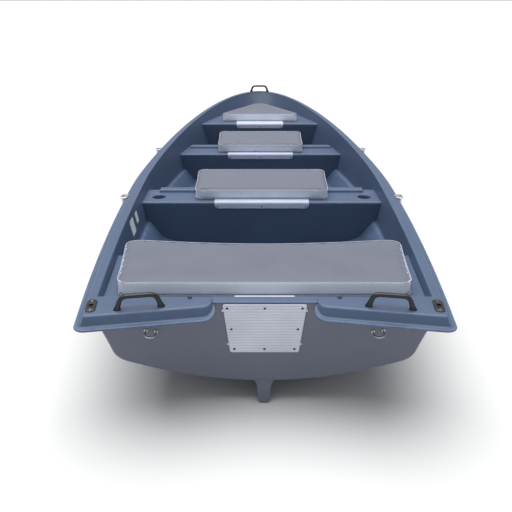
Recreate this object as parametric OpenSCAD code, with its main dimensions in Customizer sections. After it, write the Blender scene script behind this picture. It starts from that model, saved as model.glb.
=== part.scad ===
// Open rowing boat with a twin-skin moulded hull, fixed benches and loose cushions.
// Millimetres. +X is starboard, +Y is the bow, +Z is up.
// The origin is on the centreline, amidships, at the waterline of the empty boat.

/* [Overall] */
// Length from the aft corners of the gunwale to its bow tip
length_overall = 4400; // [4200:50:4700]
// Greatest breadth over the gunwale lip
beam = 1675; // [1600:5:1750]
// Breadth over the lip at the stern corners
stern_breadth = 1450; // [1300:5:1480]
// Distance from the stern corners to the widest station
widest_station = 1770; // [1600:10:1900]
// Height of the transom from the keel line to the aft deck
transom_height = 420; // [380:5:500]
// Depth of the keel line under the water when the boat is empty
draught = 75; // [50:1:100]
// Rise of the gunwale from the stern to the bow
sheer_rise = 225; // [150:5:300]

/* [Hull skin] */
// Wall of the outer skin
hull_wall = 6; // [4:1:10]
// Height of the chine over the keel line at the transom
chine_rise = 126; // [100:1:150]
// Inset of the chine from the lip at the transom
stern_chine_inset = 97; // [80:1:120]
// Inset of the chine from the lip at the widest station
mid_chine_inset = 158; // [120:1:180]
// Length along each face that the chine rounding takes up
chine_blend = 46; // [20:1:60]
// Distance of the stem foot aft of the bow tip
stem_foot_setback = 500; // [400:10:650]
// Height of the stem foot over the keel line
stem_foot_rise = 140; // [100:5:180]
// Distance of the chine's fore end aft of the bow tip
stem_chine_setback = 180; // [150:5:260]
// Height of the chine's fore end over the keel line
stem_chine_rise = 340; // [280:5:380]

/* [Gunwale] */
// Width of the flat lip
lip_width = 23; // [15:1:35]
// Run of the sloping face between the deck and the lip
slope_run = 15; // [8:1:25]
// Drop of the sloping face
slope_drop = 40; // [25:1:60]
// Thickness of the lip
lip_thickness = 9; // [6:1:14]
// Wall of the deck moulding
deck_wall = 6; // [4:1:8]
// Width of the side deck with the lip
side_deck_width = 93; // [85:1:115]
// Radius of the lip at the stern corners
corner_radius = 45; // [40:1:60]
// Sweep of the aft edge, in degrees
stern_sweep = 9.5; // [4:0.5:12]
// Half the width of the motor notch in the aft edge
notch_half = 210; // [190:5:260]
// Radius of the deck edge where it turns into the notch
notch_radius = 45; // [30:1:60]
// Depth of the aft deck from the stern corners to the bench recess
aft_deck_depth = 200; // [190:5:240]

/* [Transom] */
// Distance of the transom's aft face from the stern corners, at the top
transom_setback = 151; // [140:1:165]
// Lean of the transom, in degrees
transom_rake = 7.5; // [4:0.5:12]
// Thickness of the transom
transom_wall = 46; // [35:1:46]
// Depth of the skeg below the keel line at the stern
skeg_depth = 115; // [80:5:140]
// Length of the skeg
skeg_length = 1500; // [1000:50:1800]
// Width of the skeg at its root
skeg_root_width = 68; // [50:1:80]
// Width of the skeg at its foot
skeg_foot_width = 48; // [40:1:60]

/* [Cockpit] */
// Wall of the cockpit liner
liner_wall = 5; // [4:1:8]
// Depth of the side ledge below the aft deck
ledge_drop = 165; // [150:5:200]
// Width of the side ledge
ledge_width = 22; // [15:1:35]
// Inset of the ledge from the inner edge of the side deck
ledge_inset = 34; // [25:1:50]
// Inset of the floor edge from the ledge
floor_inset = 78; // [60:1:100]
// Height of the floor edge over the keel line at the stern
floor_edge_rise = 150; // [140:1:170]
// Height of the floor's middle over the keel line at the stern
floor_rise = 40; // [30:1:60]

/* [Benches] */
// Depth of the thwarts and the stern bench below the aft deck
bench_drop = 38; // [30:1:60]
// Fore edge of the stern bench, from the stern corners
stern_bench_end = 700; // [650:10:840]
// Hollow of the stern bench's fore edge at the middle
stern_bench_hollow = 45; // [20:5:60]
// Aft face of the aft thwart, from the stern corners
aft_thwart_start = 1490; // [1400:10:1550]
// Aft face of the fore thwart, from the stern corners
fore_thwart_start = 2690; // [2600:10:2760]
// Fore and aft depth of a thwart
thwart_depth = 252; // [230:2:302]
// Width of the ridge along the fore edge of a thwart
ridge_width = 68; // [40:2:80]
// Height of that ridge
ridge_height = 20; // [12:1:30]
// Radius of a cup holder
cup_radius = 39; // [34:1:44]
// Depth of a cup holder
cup_depth = 70; // [50:5:90]
// Distance of a cup holder's centre from the cockpit wall
cup_inset = 88; // [70:2:110]
// Aft face of the bow seat, aft of the bow tip
bow_seat_setback = 1030; // [980:10:1080]
// Height of the bow seat over the aft deck
bow_seat_rise = 70; // [50:5:90]

/* [Cushions] */
// Thickness of a cushion
cushion_thickness = 66; // [50:2:80]
// Depth of a thwart cushion
thwart_cushion_depth = 300; // [260:5:320]
// Width of the aft thwart cushion
aft_cushion_width = 820; // [700:10:900]
// Width of the fore thwart cushion
fore_cushion_width = 680; // [600:10:760]
// Half the width of the bow cushion
bow_cushion_half = 342; // [300:2:350]
// Length of the bow cushion
bow_cushion_length = 590; // [500:10:600]
// Thickness of a cushion's screwed flap
flap_wall = 3; // [2:0.5:5]

/* [Fittings] */
// Width of the outer motor pad at the top
pad_top_width = 335; // [300:5:360]
// Width of the outer motor pad at the bottom
pad_bottom_width = 285; // [250:5:300]
// Height of the outer motor pad
pad_height = 245; // [220:5:260]
// Thickness of a motor pad
pad_wall = 8; // [5:1:12]
// Length of a carrying handle
handle_length = 200; // [160:5:220]
// Height of a carrying handle
handle_height = 62; // [50:1:75]
// Bore radius of a rowlock socket
rowlock_bore_radius = 6.5; // [6:0.5:8]
// Length of a rowlock socket's bore
rowlock_bore_length = 42; // [30:1:60]
// Aft rowlock sockets, from the stern corners
aft_rowlock_station = 1520; // [1450:5:1600]
// Fore rowlock sockets, from the stern corners
fore_rowlock_station = 2540; // [2450:5:2650]
// Bore radius of a stern rod socket
rod_bore_radius = 9; // [7:0.5:10]
// Length of a stern rod socket's bore
rod_bore_length = 60; // [40:1:90]
// Radius of the round bar of an eye
eye_bar_radius = 4; // [3:0.5:6]
// Half the distance between the legs of an eye
eye_half_width = 21; // [16:1:28]
// Length of the straight legs of an eye
eye_leg = 20; // [14:1:28]

/* [Hidden] */

// Clearance between pieces that seat on each other
seat_gap = 0.3;
// Clearance between the benches and the cockpit's curved wall
bench_gap = 0.8;
// Fullness of the bow in plan: 1 would be an ellipse
bow_power = 0.81;
// Last station short of the stem, so that both sides keep a width there
stem_limit = 0.996;
hull_blue = [0.33, 0.41, 0.55];
hull_grey = [0.38, 0.39, 0.44];
cloth_grey = [0.60, 0.61, 0.68];
pad_grey = [0.70, 0.70, 0.75];
steel = [0.75, 0.76, 0.78];
black = [0.08, 0.08, 0.09];

half_beam = beam / 2;
half_stern = stern_breadth / 2;
stern_y = -length_overall / 2;
bow_y = length_overall / 2;
wide_y = stern_y + widest_station;
keel_z = -draught;
top_z = transom_height - draught;
lip_drop = slope_drop + lip_thickness + 1;
edge_inset = lip_width + slope_run;
skin_inset = edge_inset + 4;
aft_deck_y = stern_y + aft_deck_depth;
transom_y = stern_y + transom_setback;
bow_seat_y = bow_y - bow_seat_setback;
bow_seat_z = top_z + bow_seat_rise;
bench_z = top_z - bench_drop;
transom_top_z = top_z - deck_wall - seat_gap;

// ---- Plan curves ----

// Height of the deck edge at station y.
function sheer(y) = top_z + sheer_rise * pow(max(0, y - stern_y) / length_overall, 2);

// Half-breadth at station y of a curve that is widest at wide_y and closes at fore_y.
function half_breadth(y, wide, aft, aft_y, fore_y) =
    y >= wide_y
    ? wide * cos(asin(min(1, pow((y - wide_y) / (fore_y - wide_y), bow_power))))
    : wide - (wide - aft) * pow((wide_y - y) / (wide_y - aft_y), 2);

// Point of such a curve forward of wide_y at a share s of the quarter turn to the bow.
function bow_point(s, wide, fore_y) =
    [wide * cos(90 * s), wide_y + (fore_y - wide_y) * pow(sin(90 * s), 1 / bow_power)];

// Outward normal of the lip curve, in plan, forward of wide_y.
function bow_normal(s) =
    let (
        a = bow_point(max(0.001, s - 0.004), half_beam, bow_y),
        b = bow_point(min(1, s + 0.004), half_beam, bow_y),
        d = b - a
    ) [d.y, -d.x] / norm(d);

// Lip curve moved inboard by inset, forward of wide_y.
function bow_rail(s, inset) =
    s >= 1 ? [0, bow_y - inset] : bow_point(s, half_beam, bow_y) - inset * bow_normal(s);

// Lip curve moved inboard by inset, aft of wide_y, at station y.
function side_rail(y, inset) =
    [half_breadth(y, half_beam, half_stern, stern_y, bow_y) - inset, y];

// Half-breadths of the side deck's inner edge, the ledge and the floor edge at station y.
function deck_inner_x(y) =
    half_breadth(y, half_beam - side_deck_width, half_stern - side_deck_width + 22,
        stern_y, bow_y - side_deck_width);
function ledge_x(y) =
    half_breadth(y, half_beam - side_deck_width - ledge_inset, half_stern - side_deck_width
        - ledge_inset + 22, stern_y, bow_y - 430);
function floor_x(y) =
    half_breadth(y, half_beam - side_deck_width - ledge_inset - ledge_width - floor_inset,
        half_stern - side_deck_width - ledge_inset - ledge_width - floor_inset + 22,
        stern_y, bow_y - 520);

// ---- Sheets and blocks between grids of points ----

function flat(rows) = [for (row = rows) for (p = row) p];

// Two triangles for each cell of a grid with the given first index and row length.
function cells(first, rows, columns, turned) = [
    for (i = [0:rows - 2]) for (j = [0:columns - 2])
        let (
            a = first + i * columns + j,
            b = a + 1,
            c = a + columns,
            d = c + 1
        ) each (turned ? [[a, b, d], [a, d, c]] : [[a, d, b], [a, c, d]])
];

// Triangles of the wall between two matching runs of points.
function wall(run_a, run_b) = [
    for (k = [0:len(run_a) - 2])
        each [[run_a[k], run_a[k + 1], run_b[k + 1]], [run_a[k], run_b[k + 1], run_b[k]]]
];

// A closed solid between two grids of the same size; the first is the outer one.
module sheet(outer, inner) {
    rows = len(outer);
    columns = len(outer[0]);
    offset_b = rows * columns;
    first = [for (j = [0:columns - 1]) j];
    last = [for (j = [0:columns - 1]) (rows - 1) * columns + j];
    left = [for (i = [0:rows - 1]) i * columns];
    right = [for (i = [0:rows - 1]) i * columns + columns - 1];
    shift = function (run) [for (k = run) k + offset_b];
    polyhedron(
        points = concat(flat(outer), flat(inner)),
        faces = concat(
            cells(0, rows, columns, true),
            cells(offset_b, rows, columns, false),
            wall(shift(first), first),
            wall(last, shift(last)),
            wall(left, shift(left)),
            wall(shift(right), right)
        )
    );
}

// Points of a polygon with each corner rounded to its own radius, [x, y, radius] each.
function rounded(corners, steps = 5) = [
    for (k = [0:len(corners) - 1])
        let (
            n = len(corners),
            p = [corners[k].x, corners[k].y],
            a = [corners[(k + n - 1) % n].x, corners[(k + n - 1) % n].y],
            b = [corners[(k + 1) % n].x, corners[(k + 1) % n].y],
            ua = (a - p) / norm(a - p),
            ub = (b - p) / norm(b - p),
            reach = corners[k].z / tan(acos(ua * ub) / 2)
        ) each [
            for (m = [0:steps])
                let (
                    s = m / steps,
                    start = p + reach * ua,
                    end = p + reach * ub
                ) (1 - s) * (1 - s) * start + 2 * s * (1 - s) * p + s * s * end
        ]
];

module mirrored_x(port) {
    mirror([port ? 1 : 0, 0, 0]) children();
}

// ---- Hull ----

// Stations of the hull: -1 at the transom, 0 at the widest station, 1 at the stem.
hull_steps_aft = 9;
hull_steps_fore = 19;
hull_stations = concat(
    [for (k = [0:hull_steps_aft - 1]) -1 + k / hull_steps_aft],
    [for (k = [0:hull_steps_fore]) stem_limit * k / hull_steps_fore]
);
chine_aft_x = half_stern - stern_chine_inset;
chine_wide_x = half_beam - mid_chine_inset;
chine_aft_z = keel_z + chine_rise;
keel_sag = 20;
bottom_steps = 6;
blend_steps = 4;
side_steps = 4;

// Aft face of the transom at height z.
function transom_face_y(z) = transom_y + (top_z - z) * tan(transom_rake);

// Station y of a point at height z, between the transom and its own fore end.
function station_y(t, z, fore_y) =
    let (aft_y = transom_face_y(z) + transom_wall / cos(transom_rake) + bench_gap)
    t < 0
    ? wide_y + t * (wide_y - aft_y)
    : wide_y + (fore_y - wide_y) * pow(sin(90 * t), 1 / bow_power);

function keel_point(t, e) =
    let (z = t < 0 ? keel_z - keel_sag * (1 - t * t) : keel_z - keel_sag
        + (stem_foot_rise + keel_sag) * pow(t, 3))
    [0, station_y(t, z, bow_y - stem_foot_setback) - e * max(0, t), z + e];

function chine_point(t, e) =
    let (
        z = t < 0 ? chine_aft_z + 10 * (1 + t) : chine_aft_z + 10
            + (stem_chine_rise - chine_rise - 10) * pow(t, 2.4),
        x = t < 0 ? chine_wide_x - (chine_wide_x - chine_aft_x) * t * t
            : chine_wide_x * pow(cos(90 * t), 1.15)
    )
    [max(x - e, 2), station_y(t, z, bow_y - stem_chine_setback) - e * max(0, t), z + e * 0.6];

function sheer_point(t, e) =
    let (
        flat_y = station_y(t, top_z - lip_drop, bow_y),
        plan = t < 0 ? side_rail(flat_y, skin_inset + e) : bow_rail(t, skin_inset + e)
    ) [max(plan.x, 2), plan.y, sheer(plan.y) - lip_drop - seat_gap];

function bezier(a, b, c, s) = (1 - s) * (1 - s) * a + 2 * s * (1 - s) * b + s * s * c;

// Starboard half of a section, from the keel to the lip: a bowed bottom, a rounded chine
// and a slightly hollow side. e is the depth below the outer surface.
function half_section(t, e) =
    let (
        keel = keel_point(t, e),
        chine = chine_point(t, e),
        top = sheer_point(t, e),
        vee = t > 0 ? 0.8 * sin(180 * t) : 0,
        bottom_mid = [
            chine.x / 2, (keel.y + chine.y) / 2, keel.z + vee * (chine.z - keel.z) / 2
        ],
        hollow = 12 * cos(90 * max(0, t)),
        side_mid = (chine + top) / 2 - [hollow, 0, 0],
        bottom_end = 1 - chine_blend / norm(chine - keel),
        side_start = chine_blend / norm(top - chine),
        blend_a = bezier(keel, bottom_mid, chine, bottom_end),
        blend_b = bezier(chine, side_mid, top, side_start)
    ) concat(
        [for (k = [0:bottom_steps]) bezier(keel, bottom_mid, chine, bottom_end * k / bottom_steps)],
        [for (k = [1:blend_steps]) bezier(blend_a, chine, blend_b, k / blend_steps)],
        [for (k = [1:side_steps])
            bezier(chine, side_mid, top, side_start + (1 - side_start) * k / side_steps)]
    );

function both_sides(half) = concat(
    [for (k = [len(half) - 1:-1:1]) [-half[k].x, half[k].y, half[k].z]],
    half
);

module hull() {
    color(hull_grey)
    sheet(
        [for (t = hull_stations) both_sides(half_section(t, 0))],
        [for (t = hull_stations) both_sides(half_section(t, hull_wall))]
    );
}

// Puts children on the transom's aft face: X to starboard, Y up the face, Z aft.
module on_transom() {
    translate([0, transom_y, top_z]) rotate([90 + transom_rake, 0, 0]) children();
}

// Outline of the transom in its own plane.
function transom_outline() =
    let (
        half = half_section(-1, 0),
        tuck = skin_inset + deck_wall + 22,
        side = [for (p = half) [p.x, (p.z - top_z) / cos(transom_rake)]],
        top = 0,
        shoulder = [side[len(side) - 1].x - 24, side[len(side) - 1].y],
        right = concat(side, [shoulder, [side[len(side) - 1].x - tuck / 2, top]])
    ) concat(right, [for (k = [len(right) - 1:-1:1]) [-right[k].x, right[k].y]]);

module transom() {
    color(hull_grey)
    difference() {
        on_transom() translate([0, 0, -transom_wall]) linear_extrude(transom_wall)
            polygon(transom_outline());
        translate([-half_beam, stern_y, transom_top_z]) cube([beam, 2 * aft_deck_depth, 50]);
    }
}

// Ring of the skeg at a share s of its length: two flat sides and a rounded foot.
function skeg_ring(s) =
    let (
        depth = max(4, skeg_depth * (1 - pow(s, 1.6))),
        y = transom_face_y(keel_z) + s * skeg_length,
        root_z = keel_z - keel_sag * (1 - pow((wide_y - y) / (wide_y - transom_y), 2)) - 1,
        root = skeg_root_width / 2 * (1 - 0.55 * s),
        foot = skeg_foot_width / 2 * (1 - 0.55 * s),
        r = min(12, depth / 3)
    ) [
        [root, y, root_z],
        [foot, y, root_z - depth + r],
        [foot - r * 0.7, y, root_z - depth + r * 0.3],
        [foot - r, y, root_z - depth],
        [r - foot, y, root_z - depth],
        [r * 0.7 - foot, y, root_z - depth + r * 0.3],
        [-foot, y, root_z - depth + r],
        [-root, y, root_z]
    ];

module skeg() {
    steps = 10;
    rings = [for (k = [0:steps]) skeg_ring(k / steps)];
    color(hull_grey)
    sheet(
        [for (ring = rings) [for (k = [7:-1:0]) ring[k]]],
        [for (ring = rings) [for (k = [7:-1:0])
            [ring[k].x * 0.8, ring[k].y, ring[0].z + 0.5]]]
    );
}

// ---- Gunwale: deck, sloping face and lip in one moulding ----

corner_start_y = stern_y + corner_radius * (1 - 0.13);
corner_normal = [0.9917, -0.1286];
corner_centre = side_rail(corner_start_y, 0) - corner_radius * corner_normal;
aft_normal = [-sin(stern_sweep), -cos(stern_sweep)];
aft_along = [-cos(stern_sweep), sin(stern_sweep)];
edge_start = corner_centre + (corner_radius - edge_inset) * aft_normal;
notch_centre_x = notch_half + notch_radius;
notch_run = (edge_start.x - notch_centre_x - notch_radius * aft_normal.x) / cos(stern_sweep);
notch_centre = edge_start + notch_run * aft_along - notch_radius * aft_normal;
inner_corner = [deck_inner_x(aft_deck_y) - 3, aft_deck_y + 3];

// One station of the gunwale: the deck edge, the direction outboard, the inner edge of the
// deck and how much of the lip there is.
function side_station(y) =
    [side_rail(y, edge_inset), [1, 0], [deck_inner_x(y), y], 1];
function bow_station(s) =
    [bow_rail(s, edge_inset), s >= 1 ? [0, 1] : bow_normal(s),
        bow_point(s, half_beam - side_deck_width, bow_y - side_deck_width), 1];
function corner_station(s) =
    let (
        a0 = atan2(corner_normal.y, corner_normal.x),
        a1 = atan2(aft_normal.y, aft_normal.x),
        a = a0 + s * (a1 - a0),
        dir = [cos(a), sin(a)]
    ) [corner_centre + (corner_radius - edge_inset) * dir, dir, inner_corner + 3 * dir, 1];
function aft_station(s) =
    let (edge = edge_start + s * notch_run * aft_along)
    [edge, aft_normal, [edge.x - 6 - 12 * s, aft_deck_y], 1];
function notch_station(s) =
    let (
        a0 = atan2(aft_normal.y, aft_normal.x),
        a = a0 + s * (-180 - a0),
        dir = [cos(a), sin(a)],
        edge = notch_centre + notch_radius * dir
    ) [edge, dir, [edge.x + 1 - s, aft_deck_y], max(0.06, cos(86 * s))];

side_steps_deck = 11;
bow_steps_deck = 20;
starboard_stations = concat(
    [for (k = [5:-1:0]) notch_station(k / 5)],
    [for (k = [3:-1:1]) aft_station(k / 4)],
    [for (k = [6:-1:0]) corner_station(k / 6)],
    [for (k = [1:side_steps_deck])
        let (first = aft_deck_y + 24)
        side_station(first + (wide_y - first) * (k - 1) / side_steps_deck)],
    [for (k = [0:bow_steps_deck]) bow_station(k / bow_steps_deck)]
);

// Section of the gunwale at one station, on the upper side (outer) or under side.
function gunwale_section(station, under) =
    let (
        edge = station[0],
        dir = station[1],
        inner = station[2],
        q = station[3],
        z = sheer(edge.y),
        at = function (p, out, h) [p.x + out * dir.x, p.y + out * dir.y, z + h],
        w = deck_wall
    )
    under
    ? [
        [inner.x, inner.y, sheer(inner.y) - w],
        at(edge, -w - 8, -w),
        at(edge, -w, -w - 3),
        at(edge, slope_run * q - w - 2, -slope_drop * q - w),
        at(edge, slope_run * q - w, -lip_drop * q - w * (1 - q)),
        at(edge, (slope_run + lip_width) * q - 2, -lip_drop * q - w * (1 - q))
    ]
    : [
        [inner.x, inner.y, sheer(inner.y)],
        at(edge, -8, 0),
        at(edge, -1, -3),
        at(edge, slope_run * q - 1, -slope_drop * q),
        at(edge, (slope_run + 3) * q, -slope_drop * q - 1),
        at(edge, (slope_run + lip_width) * q, -slope_drop * q - 2)
    ];

function port_of(points) = [for (p = points) [-p.x, p.y, p.z]];

module gunwale() {
    count = len(starboard_stations);
    grid = function (under) concat(
        [for (k = [0:count - 1]) port_of(gunwale_section(starboard_stations[k], under))],
        [for (k = [count - 2:-1:0]) gunwale_section(starboard_stations[k], under)]
    );
    // The resize holds the moulding, with its two socket holes, to the beam.
    color(hull_blue)
    resize([beam, 0, 0]) difference() {
        sheet(grid(false), grid(true));
        for (port = [false, true]) mirrored_x(port) rod_socket_place()
            cylinder(h = 60, r = rod_bore_radius + 5, center = true, $fn = 24);
    }
}

// Plate over the transom's top in the motor notch, back to the clamp well.
module stern_deck() {
    front = transom_y + transom_wall;
    back = notch_centre.y - 8;
    color(hull_blue)
    translate([-notch_half + 1, back, top_z - deck_wall])
        cube([2 * notch_half - 2, front - back, deck_wall]);
}

// ---- Cockpit ----

ledge_z = top_z - ledge_drop;
floor_edge_z = keel_z + floor_edge_rise;
floor_mid_z = keel_z + floor_rise;
liner_start_y = aft_deck_y + 6;
liner_end_y = bow_seat_y + 30;

// How far a point at height z moves forward to stay clear of the leaning transom.
function rake_shift(z) = (top_z - z) * tan(transom_rake);

// Half-breadth of the cockpit wall at station y and height z, above the ledge.
function wall_x(y, z) =
    let (share = (sheer(y) - z) / (sheer(y) - ledge_z))
    deck_inner_x(y) + (ledge_x(y) - deck_inner_x(y)) * share;

// Starboard half of the cockpit at station y from the centre of the floor to height top,
// moved inboard by gap.
function cockpit_half(y, top, gap) =
    let (
        rise = 60 * pow(max(0, (y - wide_y) / (bow_seat_y - wide_y)), 2),
        fx = floor_x(y) - gap,
        mid_z = floor_mid_z - keel_sag / 2 + rise,
        edge_z = floor_edge_z + rise * 0.6
    ) [
        [0, y, mid_z + gap],
        [fx * 0.34, y, mid_z + (edge_z - mid_z) * 0.12 + gap],
        [fx * 0.67, y, mid_z + (edge_z - mid_z) * 0.45 + gap],
        [fx, y, edge_z + gap],
        [ledge_x(y) - ledge_width - gap, y, ledge_z + gap],
        [ledge_x(y) - gap, y, ledge_z + 3 + gap],
        [wall_x(y, top) - gap, y, top]
    ];

module cockpit_liner() {
    steps = 36;
    grid = function (gap) [
        for (k = [0:steps]) let (
            y = liner_start_y + (liner_end_y - liner_start_y) * k / steps,
            lean = max(0, 1 - k / 3)
        ) [for (p = both_sides(cockpit_half(y, sheer(y) - deck_wall - seat_gap, gap)))
            [p.x, p.y + lean * rake_shift(p.z), p.z]]
    ];
    color(hull_blue) sheet(grid(-liner_wall), grid(0));
}

// Wall around the bow over the seat, from the deck down to the seat's level.
bow_wall_fore_y = bow_y - side_deck_width - 110;
module bow_liner() {
    steps = 16;
    foot_z = bow_seat_z + seat_gap;
    foot_share = pow((liner_end_y + seat_gap - wide_y) / (bow_wall_fore_y - wide_y), bow_power);
    foot_wide = wall_x(liner_end_y, foot_z) / cos(asin(foot_share));
    top_share = pow((liner_end_y + seat_gap - wide_y) / (bow_y - side_deck_width - wide_y),
        bow_power);
    point = function (k, gap, top)
        let (
            s0 = asin(top ? top_share : foot_share) / 90,
            s = s0 + (stem_limit - s0) * k / steps,
            p = top
                ? bow_point(s, half_beam - side_deck_width + gap, bow_y - side_deck_width + gap)
                : bow_point(s, foot_wide + gap, bow_wall_fore_y + gap)
        ) [max(p.x, 2), p.y, top ? sheer(p.y) - deck_wall - seat_gap : foot_z];
    row = function (k, gap) [point(k, gap, true), point(k, gap, false)];
    grid = function (gap) concat(
        [for (k = [0:steps]) port_of(row(k, gap))],
        [for (k = [steps:-1:0]) row(k, gap)]
    );
    color(hull_blue) sheet(grid(liner_wall), grid(0));
}

// ---- Benches ----

// A block that fills the cockpit between two stations, up to the height top. Its fore face
// is hollowed by hollow at the middle, and its aft face leans with the transom if lean is 1.
module bench_block(start_y, end_y, top, hollow = 0, lean = 0) {
    steps = 4;
    across = function (y, s)
        [for (p = both_sides(cockpit_half(y, top, bench_gap)))
            let (hollow_y = s * hollow * cos(min(90, abs(p.x) / wall_x(y, top) * 90)))
            [p.x, p.y - hollow_y + lean * (1 - s) * rake_shift(p.z), p.z]];
    rows = [for (k = [0:steps]) let (s = k / steps) across(start_y + (end_y - start_y) * s, s)];
    lid = [for (k = [0:steps]) let (y = start_y + (end_y - start_y) * k / steps)
        [for (p = rows[k])
            let (hollow_y = k / steps * hollow * cos(min(90, abs(p.x) / wall_x(y, top) * 90)))
            [p.x, y - hollow_y + lean * (1 - k / steps) * rake_shift(top), top]]];
    ends = len(rows[0]) - 1;
    sheet(
        [for (row = rows) [for (j = [0:ends]) row[j]]],
        [for (i = [0:steps]) [for (j = [0:ends])
            j == 0 || j == ends ? rows[i][j] + [0, 0, 0.5] : lid[i][j]]]
    );
}

well_half = 190;
well_depth = 60;
well_floor_z = top_z - 100;

module stern_bench() {
    color(hull_blue)
    difference() {
        bench_block(aft_deck_y + 8, stern_y + stern_bench_end, bench_z, stern_bench_hollow, 1);
        translate([-well_half, aft_deck_y, well_floor_z])
            cube([2 * well_half, 8 + well_depth, 200]);
    }
}

module thwart(start, ridge_end_gap) {
    y = stern_y + start;
    half_length = wall_x(y + thwart_depth, bench_z) - ridge_end_gap;
    bench_block(y, y + thwart_depth, bench_z);
    translate([-half_length, y + thwart_depth - ridge_width, bench_z - 5])
        cube([2 * half_length, ridge_width, ridge_height + 5]);
}

// Gaps between the ends of each ridge and the cockpit wall.
ridge_aft_gap = 76;
ridge_fore_gap = 20;
cup_station = 110;

module aft_thwart() {
    cup_y = stern_y + aft_thwart_start + cup_station;
    cup_x = wall_x(cup_y, bench_z) - cup_inset;
    color(hull_blue)
    difference() {
        thwart(aft_thwart_start, ridge_aft_gap);
        for (side = [-1, 1])
            translate([side * cup_x, cup_y, bench_z - cup_depth])
                cylinder(h = cup_depth + 50, r = cup_radius, $fn = 48);
    }
}

module fore_thwart() {
    color(hull_blue) thwart(fore_thwart_start, ridge_fore_gap);
}

module bow_seat() {
    steps = 10;
    fore_y = bow_wall_fore_y - seat_gap;
    foot_share = pow((liner_end_y - wide_y) / (bow_wall_fore_y - wide_y), bow_power);
    foot_wide = wall_x(liner_end_y, bow_seat_z) / cos(asin(foot_share));
    top_x = function (y) y < liner_end_y
        ? wall_x(y, bow_seat_z)
        : half_breadth(y, foot_wide, foot_wide, stern_y, fore_y);
    row = function (k)
        let (
            s = k / steps,
            y = bow_seat_y + (fore_y - 4 - bow_seat_y) * s,
            half = cockpit_half(min(y, liner_end_y), bow_seat_z, 1),
            keep = 1 - 0.93 * pow(s, 0.8),
            n = len(half) - 1
        )
        [for (j = [0:n]) [
            j == n ? max(3, top_x(y) - 1) : half[j].x * min(1, top_x(y) / half[n].x),
            y,
            bow_seat_z - (bow_seat_z - half[j].z) * keep
        ]];
    rows = [for (k = [0:steps]) both_sides(row(k))];
    ends = len(rows[0]) - 1;
    color(hull_blue)
    sheet(
        rows,
        [for (i = [0:steps]) [for (j = [0:ends])
            [rows[i][j].x, rows[i][j].y, bow_seat_z + (j == 0 || j == ends ? 0.5 : 1)]]]
    );
}

// ---- Cushions ----

stern_cushion_start = 273;
stern_cushion_end = 735;
stern_cushion_aft_half = 612;
stern_cushion_fore_half = 664;

module stern_cushion() {
    r = 40;
    back = stern_y + stern_cushion_start;
    front = stern_y + stern_cushion_end;
    fore_steps = 8;
    corners = rounded([
        [-stern_cushion_fore_half, front, r * 1.6], [-stern_cushion_aft_half, back, r],
        [stern_cushion_aft_half, back, r], [stern_cushion_fore_half, front, r * 1.6]
    ]);
    hollow = [for (k = [1:fore_steps - 1])
        let (s = 1 - 2 * k / fore_steps)
        [s * (stern_cushion_fore_half - 80), front - stern_bench_hollow * cos(90 * s)]];
    color(cloth_grey)
    translate([0, 0, bench_z + seat_gap]) linear_extrude(cushion_thickness)
        polygon(concat(corners, hollow));
}

// A thwart's cushion: it lies on the seat at its aft edge and on the ridge at the front.
cushion_setback = 62;
module thwart_cushion(start, width) {
    back = stern_y + start + cushion_setback;
    ridge_back = thwart_depth - ridge_width - cushion_setback;
    tilt = atan((ridge_height + seat_gap) / ridge_back);
    half = width / 2;
    color(cloth_grey)
    translate([0, back, bench_z + seat_gap + 0.5]) rotate([tilt, 0, 0])
        linear_extrude(cushion_thickness)
        polygon(rounded([
            [-half, 0, 30], [half, 0, 30], [half, thwart_cushion_depth, 45],
            [-half, thwart_cushion_depth, 45]
        ]));
}

module aft_cushion() {
    thwart_cushion(aft_thwart_start, aft_cushion_width);
}

module fore_cushion() {
    thwart_cushion(fore_thwart_start, fore_cushion_width);
}

bow_cushion_start = 130;
module bow_cushion() {
    back = bow_seat_y + bow_cushion_start;
    shoulder = 60;
    color(cloth_grey)
    translate([0, back, bow_seat_z + 1 + seat_gap]) linear_extrude(cushion_thickness)
        polygon(rounded([
            [-bow_cushion_half, 0, 18], [bow_cushion_half, 0, 18],
            [bow_cushion_half - 10, shoulder, 20],
            [40, bow_cushion_length, 26], [-40, bow_cushion_length, 26],
            [-bow_cushion_half + 10, shoulder, 20]
        ]));
}

// A flap of covering cloth: it leaves the cushion's foot, lies on the seat and turns down
// over the seat's aft face, where three screws hold it.
flap_fall = 42;
module flap(seat_y, seat_z, run, half_width) {
    translate([-half_width, seat_y, seat_z]) rotate([90, 0, 90])
        linear_extrude(2 * half_width)
        polygon([
            [-seat_gap, -flap_fall], [-seat_gap, seat_gap], [run, seat_gap],
            [run, seat_gap + flap_wall], [-seat_gap - flap_wall, seat_gap + flap_wall],
            [-seat_gap - flap_wall, -flap_fall]
        ]);
}

flap_run = cushion_setback - 4;
module aft_cushion_flap() {
    color(pad_grey) flap(stern_y + aft_thwart_start, bench_z, flap_run, 290);
}

module fore_cushion_flap() {
    color(pad_grey) flap(stern_y + fore_thwart_start, bench_z, flap_run, 262);
}

module bow_cushion_flap() {
    color(pad_grey) flap(bow_seat_y, bow_seat_z + 1, bow_cushion_start - 4, 211);
}

// ---- Fittings ----

screw_radius = 4;
pad_top_gap = deck_wall + 2;

module motor_pad(top_width, bottom_width, height, screw_rows) {
    half_top = top_width / 2;
    half_bottom = bottom_width / 2;
    difference() {
        linear_extrude(pad_wall)
            polygon(rounded([
                [-half_top, -pad_top_gap, 8], [-half_bottom, -pad_top_gap - height, 8],
                [half_bottom, -pad_top_gap - height, 8], [half_top, -pad_top_gap, 8]
            ]));
        for (place = screw_rows)
            translate([place.x, -pad_top_gap - place.y, -1])
                cylinder(h = pad_wall + 2, r = screw_radius, $fn = 24);
    }
}

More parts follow.
